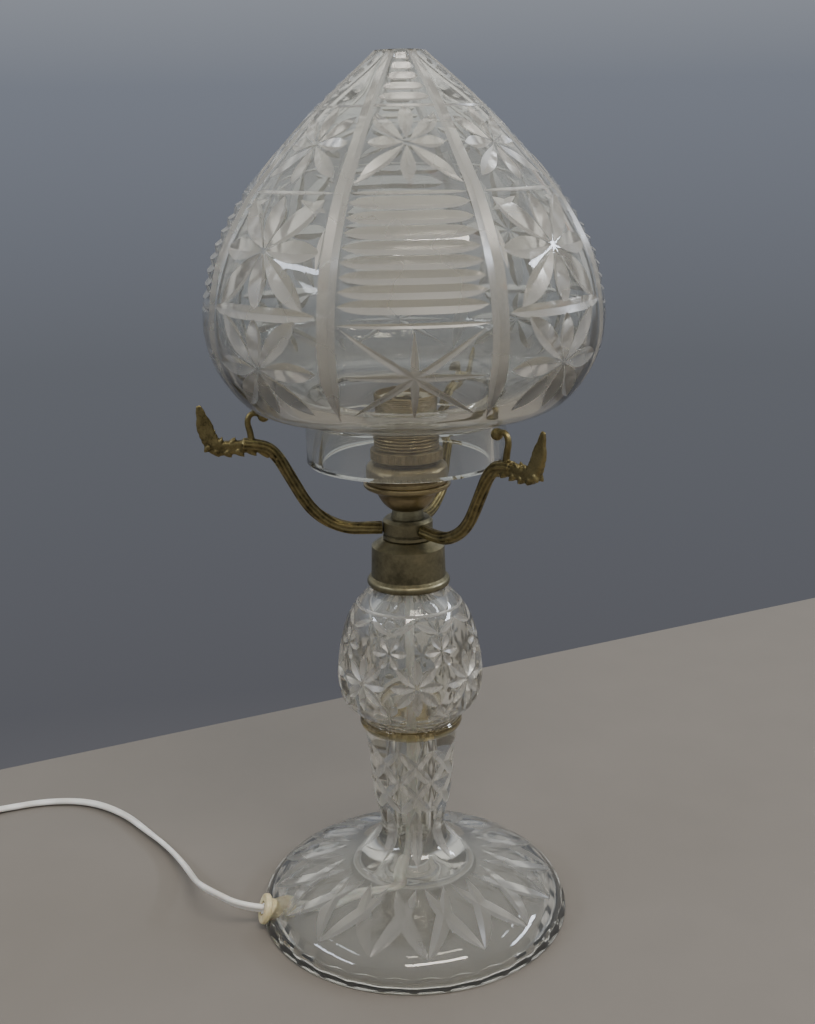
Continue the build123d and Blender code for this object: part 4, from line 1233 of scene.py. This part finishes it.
class LAMP_OT_arms(bpy.types.Operator):
    """Three cast arms with leaf, scroll and knob"""

    bl_idname = "lamp.arms"
    bl_label = "Cast arms"

    def execute(self, context):
        names = {"shade_arm_left": 186.0, "shade_arm_right": 306.0, "shade_arm_back": 66.0}
        for name, angle in names.items():
            casting = self.casting(name.replace("shade_arm", "cast_arm"))
            casting.data.transform(Matrix.Rotation(math.radians(angle), 4, "Z"))
            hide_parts(name)
            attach(casting, "lamp")
        return {"FINISHED"}

    def casting(self, name):
        """One arm in the plane that runs out along X."""
        rod_line = upright_line(
            [
                (11.2, 188.2), (19.0, 188.2), (27.0, 188.6), (36.0, 192.6), (43.5, 199.6),
                (50.0, 212.0), (56.5, 224.0), (63.0, 227.4), (70.0, 227.9),
            ]
        )
        lobes = 9
        around = 42

        def rod_section(i):
            t = i / (len(rod_line) - 1)
            thick = 2.75 - 0.2 * math.sin(math.pi * t)
            ring = []
            for k in range(around):
                a = 2 * math.pi * k / around
                r = thick * (1 + 0.09 * math.cos(lobes * a + 6 * t + 0.8 * math.sin(17 * t)))
                ring.append((r * math.cos(a), r * math.sin(a)))
            return ring

        parts = [object_from("rod", *swept(rod_line, rod_section))]

        # Horn of the leaf, rising to its tip.
        horn_line = upright_line(
            [(66.0, 227.6), (74.0, 226.9), (81.6, 226.4), (84.4, 231.6), (86.3, 238.0), (87.9, 245.4)]
        )

        def horn_section(i):
            t = i / (len(horn_line) - 1)
            tall = 2.6 + 1.0 * min(t * 2, 1) - 2.6 * max(0, t - 0.82) / 0.18
            tooth = 0.35 * abs(math.sin(11 * math.pi * t))
            tall = max(tall + tooth, 0.45)
            wide = max(2.3 * (1 - max(0, t - 0.45) / 0.72), 0.5)
            ring = []
            for k in range(24):
                a = 2 * math.pi * k / 24
                groove = 1 - 0.10 * math.cos(4 * a)
                ring.append((wide * math.cos(a) * groove, tall * math.sin(a) * groove))
            return ring

        parts.append(object_from("horn", *swept(horn_line, horn_section)))

        # Leaf teeth along the underside and the outer edge.
        teeth = [
            ((62.5, 225.6), (59.6, 221.8), 1.7), ((67.5, 226.0), (64.4, 223.0), 1.8),
            ((72.5, 225.6), (69.6, 222.9), 1.8), ((77.0, 225.2), (75.0, 222.7), 1.9),
            ((81.6, 225.6), (80.2, 223.2), 1.8), ((84.4, 227.6), (86.6, 225.4), 1.7),
            ((80.0, 228.6), (78.6, 231.4), 1.3), ((75.0, 228.8), (73.0, 231.0), 1.2),
        ]
        for side in (-1.05, 1.05):
            for root, point, size in teeth:
                start = Vector((root[0], side * 0.6, root[1]))
                finish = Vector((point[0], side * 1.5, point[1]))
                line = [start.lerp(finish, k / 6) for k in range(7)]

                def tooth_section(i, size=size):
                    return circle(size * (1 - (i / 6) ** 1.6) + 0.12, 12)

                parts.append(object_from("tooth", *swept(line, tooth_section)))

        # Tendril that curls in to the knob under the shade.
        curl = upright_line(
            [(66.2, 228.6), (66.6, 233.0), (68.0, 237.6), (66.4, 241.2), (62.8, 241.2), (60.9, 240.0)],
            12,
        )

        def curl_section(i):
            return circle(1.45 - 0.35 * i / (len(curl) - 1), 16)

        parts.append(object_from("curl", *swept(curl, curl_section)))
        knob = bmesh.new()
        place = Matrix.Translation((0.0608, 0, 0.23988))
        bmesh.ops.create_icosphere(knob, subdivisions=3, radius=2.55 * MM, matrix=place)
        mesh = bpy.data.meshes.new("knob")
        knob.to_mesh(mesh)
        knob.free()
        ball = bpy.data.objects.new("knob", mesh)
        bpy.context.collection.objects.link(ball)
        parts.append(ball)

        made = join(name, parts)
        face_outward(made)
        remesh = made.modifiers.new("fuse", "REMESH")
        remesh.mode = "VOXEL"
        remesh.voxel_size = VOXEL
        bpy.context.view_layer.update()
        ready = made.evaluated_get(bpy.context.evaluated_depsgraph_get())
        fused = bpy.data.meshes.new_from_object(ready)
        made.modifiers.remove(remesh)
        made.data = fused
        work = bmesh.new()
        work.from_mesh(made.data)
        axes = {"use_axis_x": True, "use_axis_y": True, "use_axis_z": True}
        for _ in range(2):
            bmesh.ops.smooth_vert(work, verts=work.verts, factor=0.5, **axes)
        work.to_mesh(made.data)
        work.free()
        made.data.materials.append(material_for("arm_brass"))
        made.data.shade_smooth()
        return made


class LAMP_OT_lampholder(bpy.types.Operator):
    """Pressed brass lampholder with its threaded sleeve"""

    bl_idname = "lamp.lampholder"
    bl_label = "Lampholder"

    def execute(self, context):
        low = 208.8
        cone = 218.4
        top = 240.9
        body = [
            (17.0, low), (17.5, low), (17.8, low + 0.5), (17.8, low + 1.6), (17.4, low + 2.0),
            (17.4, low + 2.6), (17.8, low + 3.0), (17.8, cone - 2.6), (17.4, cone - 1.6),
            (16.4, cone - 0.6), (15.0, cone - 0.1), (14.1, cone + 0.1),
        ]
        thread = []
        z = cone + 0.8
        while z < top - 0.9:
            thread += [(13.75, z), (13.9, z + 0.25), (14.2, z + 0.55), (14.2, z + 0.75), (13.9, z + 1.05)]
            z += 1.35
        inside = [
            (13.7, top - 0.3), (13.45, top), (13.1, top), (13.0, top - 0.3), (13.0, cone - 0.4),
            (16.6, cone - 2.6), (17.0, cone - 3.2),
        ]
        brass = [material_for("holder_brass")]
        sleeve = turned("threaded_lampholder_body", body + thread + inside, 128, brass, smooth_angle=28)
        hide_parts("holder_body")
        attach(sleeve, "lamp")
        return {"FINISHED"}


class LAMP_OT_fittings(bpy.types.Operator):
    """Finishes of the small fittings, the switch and the plug"""

    bl_idname = "lamp.fittings"
    bl_label = "Fittings"

    def execute(self, context):
        finishes = {
            "cord_bushing": "ivory", "stem_cap": "cap_brass", "cap_plaster": "plaster",
            "threaded_tube": "holder_brass", "tube_nut": "steel", "arm_hub": "cap_brass",
            "holder_dome": "holder_brass", "holder_flange_ring": "holder_brass",
            "holder_screw_ring": "holder_brass", "holder_insulator": "porcelain",
            "screw_shell": "nickel", "centre_contact": "nickel", "terminal_screws": "steel",
            "switch_base": "fitting", "switch_cover": "fitting", "switch_rocker": "fitting",
            "rocker_pin": "steel", "switch_screws": "steel", "plug_body": "fitting",
            "plug_pins": "nickel",
        }
        for name, finish in finishes.items():
            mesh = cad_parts[name].data
            if mesh.materials:
                for k in range(len(mesh.materials)):
                    mesh.materials[k] = material_for(finish)
            else:
                mesh.materials.append(material_for(finish))
        return {"FINISHED"}


class LAMP_PT_panel(bpy.types.Panel):
    """The lamp's sizes, colours and pieces"""

    bl_label = "Table lamp"
    bl_idname = "LAMP_PT_panel"
    bl_space_type = "VIEW_3D"
    bl_region_type = "UI"
    bl_category = "Lamp"

    def draw(self, context):
        column = self.layout.column()
        for group in (context.scene.lamp_sizes, context.scene.lamp_colours):
            for name in group.__annotations__:
                column.prop(group, name)
        for operator in OPERATORS:
            column.operator(operator.bl_idname)


OPERATORS = (
    LAMP_OT_stage,
    LAMP_OT_flex,
    LAMP_OT_shade,
    LAMP_OT_stand,
    LAMP_OT_arms,
    LAMP_OT_lampholder,
    LAMP_OT_fittings,
)


def register():
    for group in (LampSizes, LampColours):
        bpy.utils.register_class(group)
    bpy.types.Scene.lamp_sizes = PointerProperty(type=LampSizes)
    bpy.types.Scene.lamp_colours = PointerProperty(type=LampColours)
    for operator in OPERATORS:
        bpy.utils.register_class(operator)
    bpy.utils.register_class(LAMP_PT_panel)


def unregister():
    bpy.utils.unregister_class(LAMP_PT_panel)
    for operator in reversed(OPERATORS):
        bpy.utils.unregister_class(operator)
    del bpy.types.Scene.lamp_colours
    del bpy.types.Scene.lamp_sizes
    for group in (LampColours, LampSizes):
        bpy.utils.unregister_class(group)


def main():
    register()
    bpy.ops.lamp.stage()
    bpy.ops.lamp.flex()
    bpy.ops.lamp.shade()
    bpy.ops.lamp.stand()
    bpy.ops.lamp.arms()
    bpy.ops.lamp.lampholder()
    bpy.ops.lamp.fittings()


if __name__ == "__main__":
    main()
